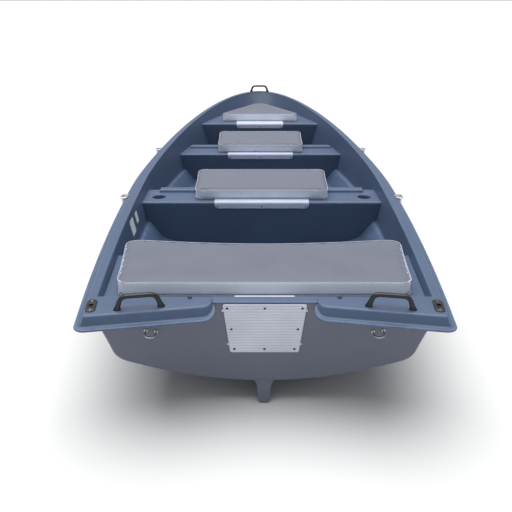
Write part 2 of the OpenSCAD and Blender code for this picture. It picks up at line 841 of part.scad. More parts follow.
module motor_pad_outer() {
    edge = 18;
    low = pad_height - edge;
    top_x = pad_top_width / 2 - edge;
    low_x = pad_bottom_width / 2 - edge;
    color(pad_grey)
    on_transom() translate([0, 0, seat_gap])
        motor_pad(pad_top_width, pad_bottom_width, pad_height, [
            [-top_x, edge], [0, edge], [top_x, edge],
            [-(top_x + low_x) / 2 + 2, pad_height / 2], [(top_x + low_x) / 2 - 2, pad_height / 2],
            [-low_x, low], [0, low], [low_x, low]
        ]);
}

inner_pad_width = 250;
inner_pad_height = 88;
module motor_pad_inner() {
    color(pad_grey)
    on_transom() translate([0, 0, -transom_wall - pad_wall - seat_gap])
        motor_pad(inner_pad_width, inner_pad_width - 20, inner_pad_height, []);
}

// Carrying handle along X on a flat base: two feet, two slanting legs and a grip.
handle_depth = 21;
grip_height = 17;
foot_thickness = 5;
module handle() {
    half = handle_length / 2;
    shoulder = half - 24;
    rotate([90, 0, 0]) translate([0, 0, -handle_depth / 2]) linear_extrude(handle_depth)
        difference() {
            polygon(rounded([
                [-half + 8, 0, 0.5], [half - 8, 0, 0.5], [shoulder, handle_height, 12],
                [-shoulder, handle_height, 12]
            ]));
            polygon(rounded([
                [-half + 32, foot_thickness, 1], [half - 32, foot_thickness, 1],
                [shoulder - 12, handle_height - grip_height, 7],
                [-shoulder + 12, handle_height - grip_height, 7]
            ]));
            translate([-half + 40, -1]) square([handle_length - 80, foot_thickness + 2]);
        }
    for (side = [-1, 1])
        translate([side * (half - 16), 0, 0])
            linear_extrude(foot_thickness)
            polygon(rounded([[-16, -13, 5], [16, -13, 5], [16, 13, 5], [-16, 13, 5]]));
}

handle_centre_x = 482;
handle_inset = 34;
module stern_handle() {
    along = (edge_start.x - handle_centre_x) / cos(stern_sweep);
    place = edge_start + along * aft_along - handle_inset * aft_normal;
    z = sheer(place.y + 10) + seat_gap;
    translate([place.x, place.y, z]) rotate([0, 0, -stern_sweep]) handle();
}

module stern_handle_port() {
    color(black) mirror([1, 0, 0]) stern_handle();
}

module stern_handle_starboard() {
    color(black) stern_handle();
}

bow_handle_setback = 70;
module bow_handle() {
    y = bow_y - bow_handle_setback;
    color(black)
    translate([0, y, sheer(y + 15) + seat_gap]) handle();
}

// Rowlock socket: a plate on the lip that stands out over the side, with a bored boss.
socket_plate_length = 70;
socket_plate_wall = 6;
socket_overhang = 28;
socket_boss_radius = 12;
module rowlock_socket(station) {
    y = stern_y + station;
    lip_x = half_breadth(y, half_beam, half_stern, stern_y, bow_y);
    z = sheer(y + socket_plate_length / 2) - slope_drop - 1 + seat_gap;
    bore_x = lip_x + socket_overhang - 13;
    reach = socket_overhang + lip_width - 6;
    translate([0, 0, z])
    difference() {
        union() {
            translate([lip_x + socket_overhang - reach, y - socket_plate_length / 2, 0])
                cube([reach, socket_plate_length, socket_plate_wall]);
            translate([bore_x, y, socket_plate_wall - rowlock_bore_length])
                cylinder(h = rowlock_bore_length, r = socket_boss_radius, $fn = 32);
        }
        translate([bore_x, y, socket_plate_wall - rowlock_bore_length - 1])
            cylinder(h = rowlock_bore_length + 2, r = rowlock_bore_radius, $fn = 32);
    }
}

module rowlock_socket_aft_port() {
    color(steel) mirror([1, 0, 0]) rowlock_socket(aft_rowlock_station);
}

module rowlock_socket_aft_starboard() {
    color(steel) rowlock_socket(aft_rowlock_station);
}

module rowlock_socket_fore_port() {
    color(steel) mirror([1, 0, 0]) rowlock_socket(fore_rowlock_station);
}

module rowlock_socket_fore_starboard() {
    color(steel) rowlock_socket(fore_rowlock_station);
}

// Rod socket in a stern corner: an oval flange on the deck and a blind tube through it.
rod_flange_length = 100;
rod_flange_width = 40;
rod_flange_wall = 6;
rod_tube_wall = 3.5;
rod_station = 118;
rod_edge_inset = 24;
module rod_socket_place() {
    y = stern_y + rod_station;
    x = side_rail(y, edge_inset + rod_edge_inset).x;
    translate([x, y, sheer(y + rod_flange_length / 2) + seat_gap]) rotate([0, 0, -7]) children();
}

module rod_socket() {
    straight = rod_flange_length / 2 - rod_flange_width / 2;
    r = rod_flange_width / 2;
    steps = 10;
    rod_socket_place()
    difference() {
        union() {
            linear_extrude(rod_flange_wall)
                polygon(concat(
                    [for (k = [0:steps]) [r * cos(180 * k / steps),
                        straight + r * sin(180 * k / steps)]],
                    [for (k = [0:steps]) [-r * cos(180 * k / steps),
                        -straight - r * sin(180 * k / steps)]]
                ));
            translate([0, 0, rod_flange_wall - rod_bore_length - 5])
                cylinder(h = rod_bore_length + 4, r = rod_bore_radius + rod_tube_wall, $fn = 32);
        }
        translate([0, 0, rod_flange_wall - rod_bore_length])
            cylinder(h = rod_bore_length + 1, r = rod_bore_radius, $fn = 32);
    }
}

module rod_socket_port() {
    color(black) mirror([1, 0, 0]) rod_socket();
}

module rod_socket_starboard() {
    color(black) rod_socket();
}

// Eye of round bar: two straight legs and a half-round bend, standing along +Z.
module eye() {
    for (side = [-1, 1])
        translate([side * eye_half_width, 0, 0]) {
            cylinder(h = eye_leg, r = eye_bar_radius, $fn = 24);
            cylinder(h = 3, r = eye_bar_radius * 2, $fn = 24);
        }
    translate([0, 0, eye_leg]) rotate([90, 0, 0])
        rotate_extrude(angle = 180, $fn = 48)
        translate([eye_half_width, 0]) circle(r = eye_bar_radius, $fn = 24);
}

transom_eye_x = 464;
transom_eye_drop = 146;
module transom_eye() {
    on_transom() translate([transom_eye_x, -transom_eye_drop, seat_gap]) rotate([0, 0, 8]) eye();
}

module transom_eye_port() {
    color(steel) mirror([1, 0, 0]) transom_eye();
}

module transom_eye_starboard() {
    color(steel) transom_eye();
}

bow_eye_share = 0.62;
module bow_eye() {
    half = half_section(stem_limit, 0);
    n = len(half);
    a = half[n - 3];
    b = half[n - 2];
    place = (a + b) / 2;
    lean = atan2(b.y - a.y, b.z - a.z);
    color(steel)
    translate([0, place.y + seat_gap, place.z]) rotate([-90 - lean, 0, 0]) rotate([0, 0, 90])
        eye();
}

hull();
transom();
skeg();
gunwale();
stern_deck();
cockpit_liner();
bow_liner();
stern_bench();
aft_thwart();
fore_thwart();
bow_seat();
stern_cushion();
aft_cushion();
fore_cushion();
bow_cushion();
aft_cushion_flap();
fore_cushion_flap();
bow_cushion_flap();
motor_pad_outer();
motor_pad_inner();
stern_handle_port();
stern_handle_starboard();
bow_handle();
rowlock_socket_aft_port();
rowlock_socket_aft_starboard();
rowlock_socket_fore_port();
rowlock_socket_fore_starboard();
rod_socket_port();
rod_socket_starboard();
transom_eye_port();
transom_eye_starboard();
bow_eye();
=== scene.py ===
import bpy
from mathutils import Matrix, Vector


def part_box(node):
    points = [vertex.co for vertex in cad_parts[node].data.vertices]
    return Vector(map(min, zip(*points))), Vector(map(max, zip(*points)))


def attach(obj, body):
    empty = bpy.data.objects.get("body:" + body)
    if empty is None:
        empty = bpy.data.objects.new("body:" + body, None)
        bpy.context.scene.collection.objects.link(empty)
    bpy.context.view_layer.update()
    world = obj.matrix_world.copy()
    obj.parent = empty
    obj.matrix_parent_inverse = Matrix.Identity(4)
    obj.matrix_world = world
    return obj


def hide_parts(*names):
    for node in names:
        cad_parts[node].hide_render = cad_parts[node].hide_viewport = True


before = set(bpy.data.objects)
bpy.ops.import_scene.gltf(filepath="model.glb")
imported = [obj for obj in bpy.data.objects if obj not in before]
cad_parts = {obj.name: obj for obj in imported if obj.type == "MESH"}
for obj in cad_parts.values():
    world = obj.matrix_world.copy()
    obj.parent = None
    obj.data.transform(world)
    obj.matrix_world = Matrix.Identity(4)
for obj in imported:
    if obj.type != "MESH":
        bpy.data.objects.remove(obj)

"""Looks of an open rowing boat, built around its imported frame.

Every shape is worked out in millimetres, in the boat's own frame: +X starboard, +Y the bow,
+Z up, with the origin on the centreline, amidships, at the waterline. Shape.piece scales it
to metres and puts it into Blender.
"""

import logging
import math
from dataclasses import dataclass, field
from enum import Enum
from typing import Any, Iterable, Sequence

import bmesh
import bpy
import numpy as np

Array = np.ndarray
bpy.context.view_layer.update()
MM = 0.001
WELD = 0.02
LOG = logging.getLogger("rowing_boat")


class Slot(Enum):
    """The record's material slots."""

    HULL = "hull_grey"
    LINER = "liner_blue"
    CLOTH = "cushion_cloth"
    BAND = "cushion_band"
    PAD = "pad_plastic"
    BLACK = "black_plastic"
    STEEL = "stainless_steel"


class Side(Enum):
    """The two sides of the boat, with the sign of their x."""

    PORT = -1
    STARBOARD = 1

    @property
    def word(self) -> str:
        """The side's name as the frame writes it."""
        return self.name.lower()


# ---- Shader helpers ----


class Sock:
    """A shader value that takes part in arithmetic: each operator adds one Math node."""

    def __init__(self, graph: "Graph", link: bpy.types.NodeSocket) -> None:
        """Wraps an output socket of a graph."""
        self.graph = graph
        self.link = link

    def _math(self, operation: str, first: Any, second: Any = 0.0, third: Any = 0.0) -> "Sock":
        """Adds a Math node.

        Args:
            operation: The node's operation.
            first: Its first value, a number or a Sock.
            second: Its second value.
            third: Its third value.

        Returns:
            The node's result.
        """
        return self.graph.add(
            "ShaderNodeMath", {"operation": operation}, {0: first, 1: second, 2: third}
        )

    def __add__(self, other: Any) -> "Sock":
        """Sum."""
        return self._math("ADD", self, other)

    __radd__ = __add__

    def __mul__(self, other: Any) -> "Sock":
        """Product."""
        return self._math("MULTIPLY", self, other)

    __rmul__ = __mul__

    def __sub__(self, other: Any) -> "Sock":
        """Difference."""
        return self._math("SUBTRACT", self, other)

    def __rsub__(self, other: Any) -> "Sock":
        """Difference from a number."""
        return self._math("SUBTRACT", other, self)

    def sine(self) -> "Sock":
        """Sine of an angle in radians."""
        return self._math("SINE", self)

    def step(self, low: float, high: float) -> "Sock":
        """Smooth step: 0 below low, 1 above high."""
        return self.graph.add(
            "ShaderNodeMapRange",
            {"interpolation_type": "SMOOTHSTEP"},
            {"Value": self, "From Min": low, "From Max": high, "To Min": 0.0, "To Max": 1.0},
        )


class Graph:
    """A material's node tree, with one method that adds any node."""

    def __init__(self, name: str) -> None:
        """Makes a material with an output and a Principled shader.

        Args:
            name: The material's name.
        """
        self.material = bpy.data.materials.new(name)
        self.material.use_nodes = True
        self.tree = self.material.node_tree
        self.tree.nodes.clear()
        self.shader = self.tree.nodes.new("ShaderNodeBsdfPrincipled")
        output = self.tree.nodes.new("ShaderNodeOutputMaterial")
        self.tree.links.new(self.shader.outputs[0], output.inputs[0])
        place = self.tree.nodes.new("ShaderNodeTexCoord")
        self.place = Sock(self, place.outputs["Object"])

    def set(self, socket: bpy.types.NodeSocket, value: Any) -> None:
        """Links a Sock to a socket, or sets the socket's own value."""
        if isinstance(value, Sock):
            self.tree.links.new(value.link, socket)
        else:
            socket.default_value = value

    def add(
        self, kind: str, settings: dict[str, Any], values: dict[Any, Any], output: Any = 0
    ) -> Sock:
        """Adds a node.

        Args:
            kind: The node's type.
            settings: Its settings, which are set first.
            values: Values or links of its sockets, by name or index.
            output: The output that is returned.

        Returns:
            The named output as a Sock.
        """
        node = self.tree.nodes.new(kind)
        for name, value in settings.items():
            setattr(node, name, value)
        for key, value in values.items():
            self.set(node.inputs[key], value)
        return Sock(self, node.outputs[output])

    def noise(
        self,
        scale: float,
        detail: float = 2.0,
        stretch: Sequence[float] = (1.0, 1.0, 1.0),
        rough: float = 0.5,
    ) -> Sock:
        """Noise in object coordinates, in features a metre, stretched along each axis."""
        place = self.add(
            "ShaderNodeVectorMath",
            {"operation": "MULTIPLY"},
            {0: self.place, 1: tuple(stretch)},
        )
        return self.add(
            "ShaderNodeTexNoise",
            {},
            {"Vector": place, "Scale": scale, "Detail": detail, "Roughness": rough},
        )

    def cells(self, scale: float) -> Sock:
        """Distance to the nearest cell point of a Voronoi pattern in object coordinates."""
        return self.add(
            "ShaderNodeTexVoronoi", {}, {"Vector": self.place, "Scale": scale}, "Distance"
        )

    def axis(self, index: int) -> Sock:
        """One of the three object coordinates, in metres."""
        return self.add("ShaderNodeSeparateXYZ", {}, {0: self.place}, index)

    def attribute(self, name: str) -> Sock:
        """A number stored on the piece's points."""
        return self.add("ShaderNodeAttribute", {"attribute_name": name}, {}, "Fac")

    def mix(self, share: Any, first: Any, second: Any) -> Sock:
        """Colour mix: first where share is 0, second where it is 1."""
        return self.add(
            "ShaderNodeMix", {"data_type": "RGBA"}, {0: share, 6: first, 7: second}, 2
        )

    def bump(self, height: Sock, distance: float, strength: float = 1.0) -> Sock:
        """Bump normal of a height from 0 to 1 that is distance metres deep."""
        return self.add(
            "ShaderNodeBump", {}, {"Height": height, "Distance": distance, "Strength": strength}
        )

    def finish(self, **values: Any) -> bpy.types.Material:
        """Sets the shader's sockets, written with _ for a space, and returns the material."""
        for name, value in values.items():
            self.set(self.shader.inputs[name.replace("_", " ")], value)
        return self.material


def rgb(red: float, green: float, blue: float) -> tuple[float, float, float, float]:
    """A linear colour with full alpha."""
    return (red, green, blue, 1.0)


def tinted(colour: Sequence[float], factor: float) -> tuple[float, float, float, float]:
    """A colour lightened or darkened by a factor."""
    return (colour[0] * factor, colour[1] * factor, colour[2] * factor, 1.0)


@dataclass(frozen=True)
class MouldedPlastic:
    """Moulded hull plastic: a fine grain, uneven colour, scuffs, and pale worn edges."""

    name: str
    colour: tuple[float, float, float, float]
    roughness: float = 0.4
    grain_depth: float = 0.00018
    scuff: float = 0.5
    stain: float = 0.0

    def material(self) -> bpy.types.Material:
        """Colour: cloudy noise on two scales, worn edges and long thin scuffs. Roughness
        follows the same masks, and the bump is a fine grain over a slow ripple."""
        graph = Graph(self.name)
        cloud = graph.noise(2.3, 3.0).step(0.3, 0.7)
        mottle = graph.noise(19.0, 4.0, rough=0.6).step(0.25, 0.75)
        grain = graph.noise(900.0, 2.0)
        pores = graph.cells(420.0)
        streak = graph.noise(16.0, 5.0, (0.35, 0.12, 1.6), 0.65).step(0.63, 0.74)
        fine_scratch = graph.noise(60.0, 6.0, (0.2, 0.06, 3.0), 0.7).step(0.66, 0.72)
        edge = graph.attribute("wear_and_groove_shade")
        worn = edge * graph.noise(34.0, 5.0, rough=0.7).step(0.36, 0.66)
        scuffs = (streak * 0.5 + fine_scratch * 0.5) * self.scuff
        colour = graph.mix(cloud * 0.8, tinted(self.colour, 0.93), tinted(self.colour, 1.07))
        colour = graph.mix(mottle * 0.35, colour, tinted(self.colour, 1.1))
        colour = graph.mix(scuffs * 0.5, colour, tinted(self.colour, 1.5))
        colour = graph.mix(worn * 0.7, colour, tinted(self.colour, 1.75))
        if self.stain:
            low = 1.0 - (graph.axis(2) + graph.noise(6.0, 3.0) * 0.05).step(-0.12, 0.06)
            silt = low * graph.noise(11.0, 5.0, (1.0, 1.0, 0.3), 0.7).step(0.3, 0.7)
            colour = graph.mix(silt * self.stain, colour, rgb(0.23, 0.225, 0.2))
        rough = self.roughness + mottle * 0.07 + scuffs * 0.14 + worn * 0.12
        height = grain * 0.6 + pores * 0.25 + graph.noise(26.0, 2.0) * 1.6
        height = height - (fine_scratch * 0.5)
        return graph.finish(
            Base_Color=colour,
            Roughness=rough,
            Normal=graph.bump(height, self.grain_depth),
            Specular_IOR_Level=0.45,
        )


@dataclass(frozen=True)
class CoatedCloth:
    """Marine coated cloth: a pebbled grain over a woven back, soft creases and a low sheen."""

    name: str
    colour: tuple[float, float, float, float]
    crease: float = 1.0

    def material(self) -> bpy.types.Material:
        """Colour: slow patches and darker pores. The bump adds pebbles, a fine square weave
        of two crossed sine waves, and long shallow creases."""
        graph = Graph(self.name)
        patch = graph.noise(5.0, 4.0, rough=0.6).step(0.3, 0.7)
        pebble = graph.cells(640.0)
        pore = pebble.step(0.0, 0.5)
        weave = (graph.axis(0) * 3900.0).sine() * (graph.axis(1) * 3900.0).sine()
        crease = graph.noise(13.0, 3.0, (0.45, 1.5, 1.0)) * self.crease
        dust = graph.noise(45.0, 6.0, rough=0.75).step(0.55, 0.8)
        colour = graph.mix(patch * 0.7, tinted(self.colour, 0.92), tinted(self.colour, 1.06))
        colour = graph.mix((1.0 - pore) * 0.3, colour, tinted(self.colour, 0.8))
        colour = graph.mix(dust * 0.16, colour, tinted(self.colour, 1.3))
        height = pebble * 0.25 + weave * 0.06 + crease * 3.0
        return graph.finish(
            Base_Color=colour,
            Roughness=0.5 + patch * 0.08 + dust * 0.1,
            Normal=graph.bump(height, 0.0006),
            Sheen_Weight=0.12,
            Sheen_Roughness=0.5,
            Specular_IOR_Level=0.4,
        )


@dataclass(frozen=True)
class PadPlastic:
    """Pale ribbed plastic of the motor pads, with rubbed and bruised patches, and painted shade in
    the grooves between the ribs.
    """

    name: str
    colour: tuple[float, float, float, float]

    def material(self) -> bpy.types.Material:
        """Colour: even, with grey rub marks along X, darker dirt in fine specks, and the grooves
        between the ribs darkened as painted shade.
        """
        graph = Graph(self.name)
        rub = graph.noise(24.0, 5.0, (0.25, 1.0, 1.6), 0.65).step(0.56, 0.76)
        speck = graph.noise(160.0, 3.0).step(0.62, 0.74)
        cloud = graph.noise(7.0, 3.0).step(0.3, 0.7)
        # The point attribute marks the grooves between the ribs; the colour is darkened there as
        # painted shade, and the roughness rises.
        groove = graph.attribute("wear_and_groove_shade")
        colour = graph.mix(cloud, tinted(self.colour, 0.95), tinted(self.colour, 1.04))
        colour = graph.mix(rub * 0.3, colour, tinted(self.colour, 0.76))
        colour = graph.mix(speck * 0.25, colour, tinted(self.colour, 0.6))
        colour = graph.mix(groove * 0.36, colour, tinted(self.colour, 0.42))
        return graph.finish(
            Base_Color=colour,
            Roughness=0.46 + rub * 0.14 + groove * 0.1,
            Normal=graph.bump(graph.noise(700.0, 2.0) + rub * 0.6, 0.00012),
            Specular_IOR_Level=0.45,
        )


@dataclass(frozen=True)
class BlackNylon:
    """Black glass-filled nylon with a spark-eroded grain and greyed rubbed spots."""

    name: str = "black_nylon"

    def material(self) -> bpy.types.Material:
        """Colour: near black, greyer where noise says the hand has rubbed it."""
        graph = Graph(self.name)
        rubbed = graph.noise(38.0, 4.0, rough=0.6).step(0.5, 0.75)
        grain = graph.noise(1400.0, 2.0)
        colour = graph.mix(rubbed * 0.6, rgb(0.005, 0.005, 0.006), rgb(0.014, 0.0145, 0.017))
        return graph.finish(
            Base_Color=colour,
            Roughness=0.36 + rubbed * 0.18,
            Normal=graph.bump(grain, 0.00012),
            Specular_IOR_Level=0.5,
        )


@dataclass(frozen=True)
class BrushedSteel:
    """Stainless steel with fine brushing, smears and dull water marks."""

    name: str = "stainless"

    def material(self) -> bpy.types.Material:
        """Roughness: brushing stretched along Y and round water marks."""
        graph = Graph(self.name)
        brushed = graph.noise(700.0, 3.0, (1.0, 0.08, 1.0))
        mark = graph.cells(90.0).step(0.25, 0.5)
        smear = graph.noise(30.0, 4.0, rough=0.6).step(0.35, 0.7)
        colour = graph.mix(smear * 0.6, rgb(0.62, 0.62, 0.63), rgb(0.48, 0.475, 0.47))
        return graph.finish(
            Base_Color=colour,
            Metallic=1.0,
            Roughness=0.2 + brushed * 0.14 + smear * 0.1 + mark * 0.04,
            Normal=graph.bump(brushed, 0.00004),
        )


@dataclass(frozen=True)
class PlainFilm:
    """Blank printed film, matt, with yellowed and rubbed corners."""

    name: str
    colour: tuple[float, float, float, float]

    def material(self) -> bpy.types.Material:
        """Colour: slow yellowing and small scratches."""
        graph = Graph(self.name)
        aged = graph.noise(40.0, 4.0, rough=0.6).step(0.4, 0.75)
        scratch = graph.noise(220.0, 5.0, (0.1, 1.0, 1.0), 0.7).step(0.64, 0.7)
        colour = graph.mix(aged * 0.5, self.colour, tinted(self.colour, 0.8))
        colour = graph.mix(scratch * 0.4, colour, tinted(self.colour, 0.55))
        return graph.finish(
            Base_Color=colour,
            Roughness=0.42 + aged * 0.15,
            Normal=graph.bump(scratch, 0.00005),
        )


@dataclass(frozen=True)
class StudioFloor:
    """Pale seamless floor, matt and slightly uneven."""

    colour: tuple[float, float, float, float] = (0.62, 0.62, 0.62, 1.0)

    def material(self) -> bpy.types.Material:
        """Colour: almost even."""
        graph = Graph("studio_floor")
        colour = graph.mix(graph.noise(0.8, 2.0) * 0.3, self.colour, tinted(self.colour, 0.97))
        return graph.finish(Base_Color=colour, Roughness=0.75, Specular_IOR_Level=0.2)


HULL_GREY = MouldedPlastic("hull_plastic", rgb(0.118, 0.131, 0.178), 0.42, 0.0002, 0.6, 0.1)
LINER_BLUE = MouldedPlastic("liner_plastic", rgb(0.054, 0.084, 0.150), 0.4, 0.00018, 0.45)
CLOTH_GREY = CoatedCloth("cushion_top_cloth", rgb(0.106, 0.115, 0.156))
BAND_PALE = CoatedCloth("cushion_band_cloth", rgb(0.80, 0.85, 0.95), 0.6)
FLAP_PALE = CoatedCloth("cushion_flap_cloth", rgb(0.45, 0.50, 0.63), 0.6)
PIPING_PALE = CoatedCloth("piping_cloth", rgb(0.40, 0.43, 0.52), 0.2)
PAD_GREY = PadPlastic("pad_plastic_ribbed", rgb(0.56, 0.59, 0.68))
BLACK = BlackNylon()
STEEL = BrushedSteel()
FILM = PlainFilm("blank_film", rgb(0.62, 0.66, 0.70))
DARK_SCREW = BlackNylon("blackened_screw")


class Palette:
    """Makes each finish's material once, when a piece first needs it."""

    _made: dict[str, bpy.types.Material] = {}

    @classmethod
    def of(cls, finish: Any) -> bpy.types.Material:
        """The material of a finish."""
        if finish.name not in cls._made:
            cls._made[finish.name] = finish.material()
        return cls._made[finish.name]


# ---- Shapes on grids ----


@dataclass
class Shape:
    """Points in millimetres with faces, a finish number for each face and a share for
    each point that marks worn edges and, in the ribbed pad's grooves, painted shade."""

    points: Array
    faces: list[list[int]]
    paint: list[int]
    wear_and_groove_shade: Array

    @classmethod
    def grid(
        cls,
        points: Array,
        wrap_rows: bool = False,
        wrap_columns: bool = False,
        paint: int = 0,
        wear_and_groove_shade: Array | float = 0.0,
    ) -> "Shape":
        """Quads between the rows and columns of a grid of points.

        Args:
            points: Rows by columns by three.
            wrap_rows: Joins the last row to the first.
            wrap_columns: Joins the last column to the first.
            paint: The faces' finish number.
            wear_and_groove_shade: Share of each point, or one for all, that marks worn edges and
                painted groove shade.

        Returns:
            The open or closed surface.
        """
        rows, columns = points.shape[:2]
        index = np.arange(rows * columns).reshape(rows, columns)
        if wrap_rows:
            index = np.vstack([index, index[:1]])
        if wrap_columns:
            index = np.hstack([index, index[:, :1]])
        quads = np.stack(
            [index[:-1, :-1], index[:-1, 1:], index[1:, 1:], index[1:, :-1]], axis=-1
        ).reshape(-1, 4)
        shares = np.broadcast_to(np.asarray(wear_and_groove_shade, float), (rows, columns)).reshape(-1)
        return cls(points.reshape(-1, 3), quads.tolist(), [paint] * len(quads), shares.copy())

    @classmethod
    def face(cls, ring: Array, paint: int = 0) -> "Shape":
        """One flat face over a ring of points."""
        return cls(ring, [list(range(len(ring)))], [paint], np.zeros(len(ring)))

    def __add__(self, other: "Shape") -> "Shape":
        """Both shapes as one."""
        shift = len(self.points)
        return Shape(
            np.vstack([self.points, other.points]),
            self.faces + [[k + shift for k in face] for face in other.faces],
            self.paint + other.paint,
            np.concatenate([self.wear_and_groove_shade, other.wear_and_groove_shade]),
        )

    def turned(self, axes: Array, origin: Sequence[float]) -> "Shape":
        """The shape with its x, y and z laid along the rows of axes, from an origin."""
        points = self.points @ np.asarray(axes, float) + np.asarray(origin, float)
        return Shape(points, self.faces, self.paint, self.wear_and_groove_shade)

    def mirrored(self) -> "Shape":
        """The shape's port twin; piece() recalculates its normals."""
        return Shape(self.points * [-1.0, 1.0, 1.0], self.faces, self.paint, self.wear_and_groove_shade)

    def on(self, side: Side) -> "Shape":
        """The shape, made for starboard, on either side."""
        return self if side is Side.STARBOARD else self.mirrored()

    def mesh(self, name: str) -> bpy.types.Mesh:
        """A mesh in metres with doubles merged and every face outward."""
        mesh = bpy.data.meshes.new(name)
        mesh.from_pydata((self.points * MM).tolist(), [], self.faces)
        mesh.polygons.foreach_set("material_index", np.array(self.paint, np.int32))
        layer = mesh.attributes.new("wear_and_groove_shade", "FLOAT", "POINT")
        layer.data.foreach_set("value", self.wear_and_groove_shade.astype(np.float32))
        work = bmesh.new()
        work.from_mesh(mesh)
        bmesh.ops.remove_doubles(work, verts=work.verts, dist=WELD * MM)
        bmesh.ops.dissolve_degenerate(work, edges=work.edges, dist=0.002 * MM)
        bmesh.ops.recalc_face_normals(work, faces=work.faces)
        work.to_mesh(mesh)
        work.free()
        return mesh

    def piece(
        self,
        name: str,
        finishes: Sequence[Any],
        slot: Slot,
        replaces: Sequence[str] = (),
        sharp: float = 35.0,
        bevel: float = 0.0,
    ) -> bpy.types.Object:
        """Puts the shape into the scene, riding on the boat.

        Args:
            name: The piece's name.
            finishes: The finish of each finish number.
            slot: The record's material slot; not used.
            replaces: CAD nodes that the piece stands for.
            sharp: Angle in degrees above which an edge is drawn sharp.
            bevel: Width in millimetres of a Bevel modifier on sharp edges, or 0.

        Returns:
            The object.
        """
        mesh = self.mesh(name)
        obj = bpy.data.objects.new(name, mesh)
        bpy.context.scene.collection.objects.link(obj)
        for finish in finishes:
            mesh.materials.append(Palette.of(finish))
        mesh.shade_smooth()
        mesh.set_sharp_from_angle(angle=math.radians(sharp))
        if bevel:
            add_modifier(
                obj,
                "BEVEL",
                width=bevel * MM,
                segments=2,
                limit_method="ANGLE",
                angle_limit=math.radians(40.0),
                harden_normals=True,
            )
        return enrol(obj, replaces)


def add_modifier(obj: bpy.types.Object, kind: str, **settings: Any) -> bpy.types.Modifier:
    """Adds a modifier with its settings."""
    modifier = obj.modifiers.new(kind.lower(), kind)
    for name, value in settings.items():
        setattr(modifier, name, value)
    return modifier


def enrol(obj: bpy.types.Object, replaces: Sequence[str] = ()) -> bpy.types.Object:
    """Makes an object ride on the boat and the CAD nodes it stands for."""
    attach(obj, "root")
    if replaces:
        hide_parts(*replaces)
    nodes = ", ".join(replaces) or "itself"
    LOG.info("%s: %d faces, for %s", obj.name, len(obj.data.polygons), nodes)
    return obj


def apply_modifiers(obj: bpy.types.Object) -> None:
    """Replaces an object's mesh by its modified mesh and drops the modifiers."""
    graph = bpy.context.evaluated_depsgraph_get()
    made = bpy.data.meshes.new_from_object(
        obj.evaluated_get(graph), preserve_all_data_layers=True, depsgraph=graph
    )
    obj.modifiers.clear()
    old, obj.data = obj.data, made
    made.name = obj.name
    bpy.data.meshes.remove(old)


def carve(obj: bpy.types.Object, cutters: Iterable[Shape], sharp: float = 35.0) -> None:
    """Cuts closed shapes out of a piece and removes the cutters."""
    for number, cutter in enumerate(cutters):
        tool = bpy.data.objects.new(f"cutter_{number}", cutter.mesh("cutter"))
        bpy.context.scene.collection.objects.link(tool)
        for material in obj.data.materials:
            tool.data.materials.append(material)
        add_modifier(obj, "BOOLEAN", operation="DIFFERENCE", solver="EXACT", object=tool)
        apply_modifiers(obj)
        bpy.data.objects.remove(tool)
    obj.data.shade_smooth()
    obj.data.set_sharp_from_angle(angle=math.radians(sharp))


def corners(points: Array, reach: Any, steps: int = 5, closed: bool = False) -> Array:
    """Rounds a polyline's corners, each by a quadratic curve that leaves the corner's two
    sides at its reach.

    Args:
        points: The corners, ... by count by dimensions; leading axes are carried along.
        reach: Length along each side that the curve takes up, for each corner.
        steps: Segments of each curve.
        closed: Whether the last corner is joined to the first.

    Returns:
        The rounded polylines; an open one keeps its two ends.
    """
    before, after = np.roll(points, 1, axis=-2), np.roll(points, -1, axis=-2)
    to_before, to_after = before - points, after - points
    length_before = np.linalg.norm(to_before, axis=-1, keepdims=True) + 1e-9
    length_after = np.linalg.norm(to_after, axis=-1, keepdims=True) + 1e-9
    wanted = np.broadcast_to(np.asarray(reach, float), points.shape[:-1])[..., None]
    near = np.minimum(wanted, 0.49 * length_before)
    far = np.minimum(wanted, 0.49 * length_after)
    start = points + to_before / length_before * near
    end = points + to_after / length_after * far
    s = np.linspace(0.0, 1.0, steps + 1)[:, None]
    curve = (
        (1 - s) ** 2 * start[..., None, :]
        + 2 * s * (1 - s) * points[..., None, :]
        + s**2 * end[..., None, :]
    )
    if closed:
        return curve.reshape(*points.shape[:-2], -1, points.shape[-1])
    inner = curve[..., 1:-1, :, :].reshape(*points.shape[:-2], -1, points.shape[-1])
    return np.concatenate([points[..., :1, :], inner, points[..., -1:, :]], axis=-2)


def resampled(path: Array, count: int, closed: bool = False) -> Array:
    """Points spaced evenly along a polyline."""
    track = np.vstack([path, path[:1]]) if closed else path
    length = np.concatenate([[0.0], np.cumsum(np.linalg.norm(np.diff(track, axis=0), axis=1))])
    at = np.linspace(0.0, length[-1], count + (1 if closed else 0))
    found = np.stack([np.interp(at, length, track[:, k]) for k in range(track.shape[1])], axis=1)
    return found[:-1] if closed else found


def inward(outline: Array) -> Array:
    """Unit normals of a closed outline in the plane, pointing into it."""
    along = np.roll(outline, -1, axis=0) - np.roll(outline, 1, axis=0)
    along /= np.linalg.norm(along, axis=1, keepdims=True) + 1e-9
    x, y = outline[:, 0], outline[:, 1]
    area = np.sum(x * np.roll(y, -1) - np.roll(x, -1) * y)
    return np.stack([-along[:, 1], along[:, 0]], axis=1) * (1.0 if area > 0 else -1.0)


def lifted(outline: Array, height: Array | float) -> Array:
    """An outline in the plane, with a height."""
    return np.column_stack([outline, np.broadcast_to(height, len(outline))])


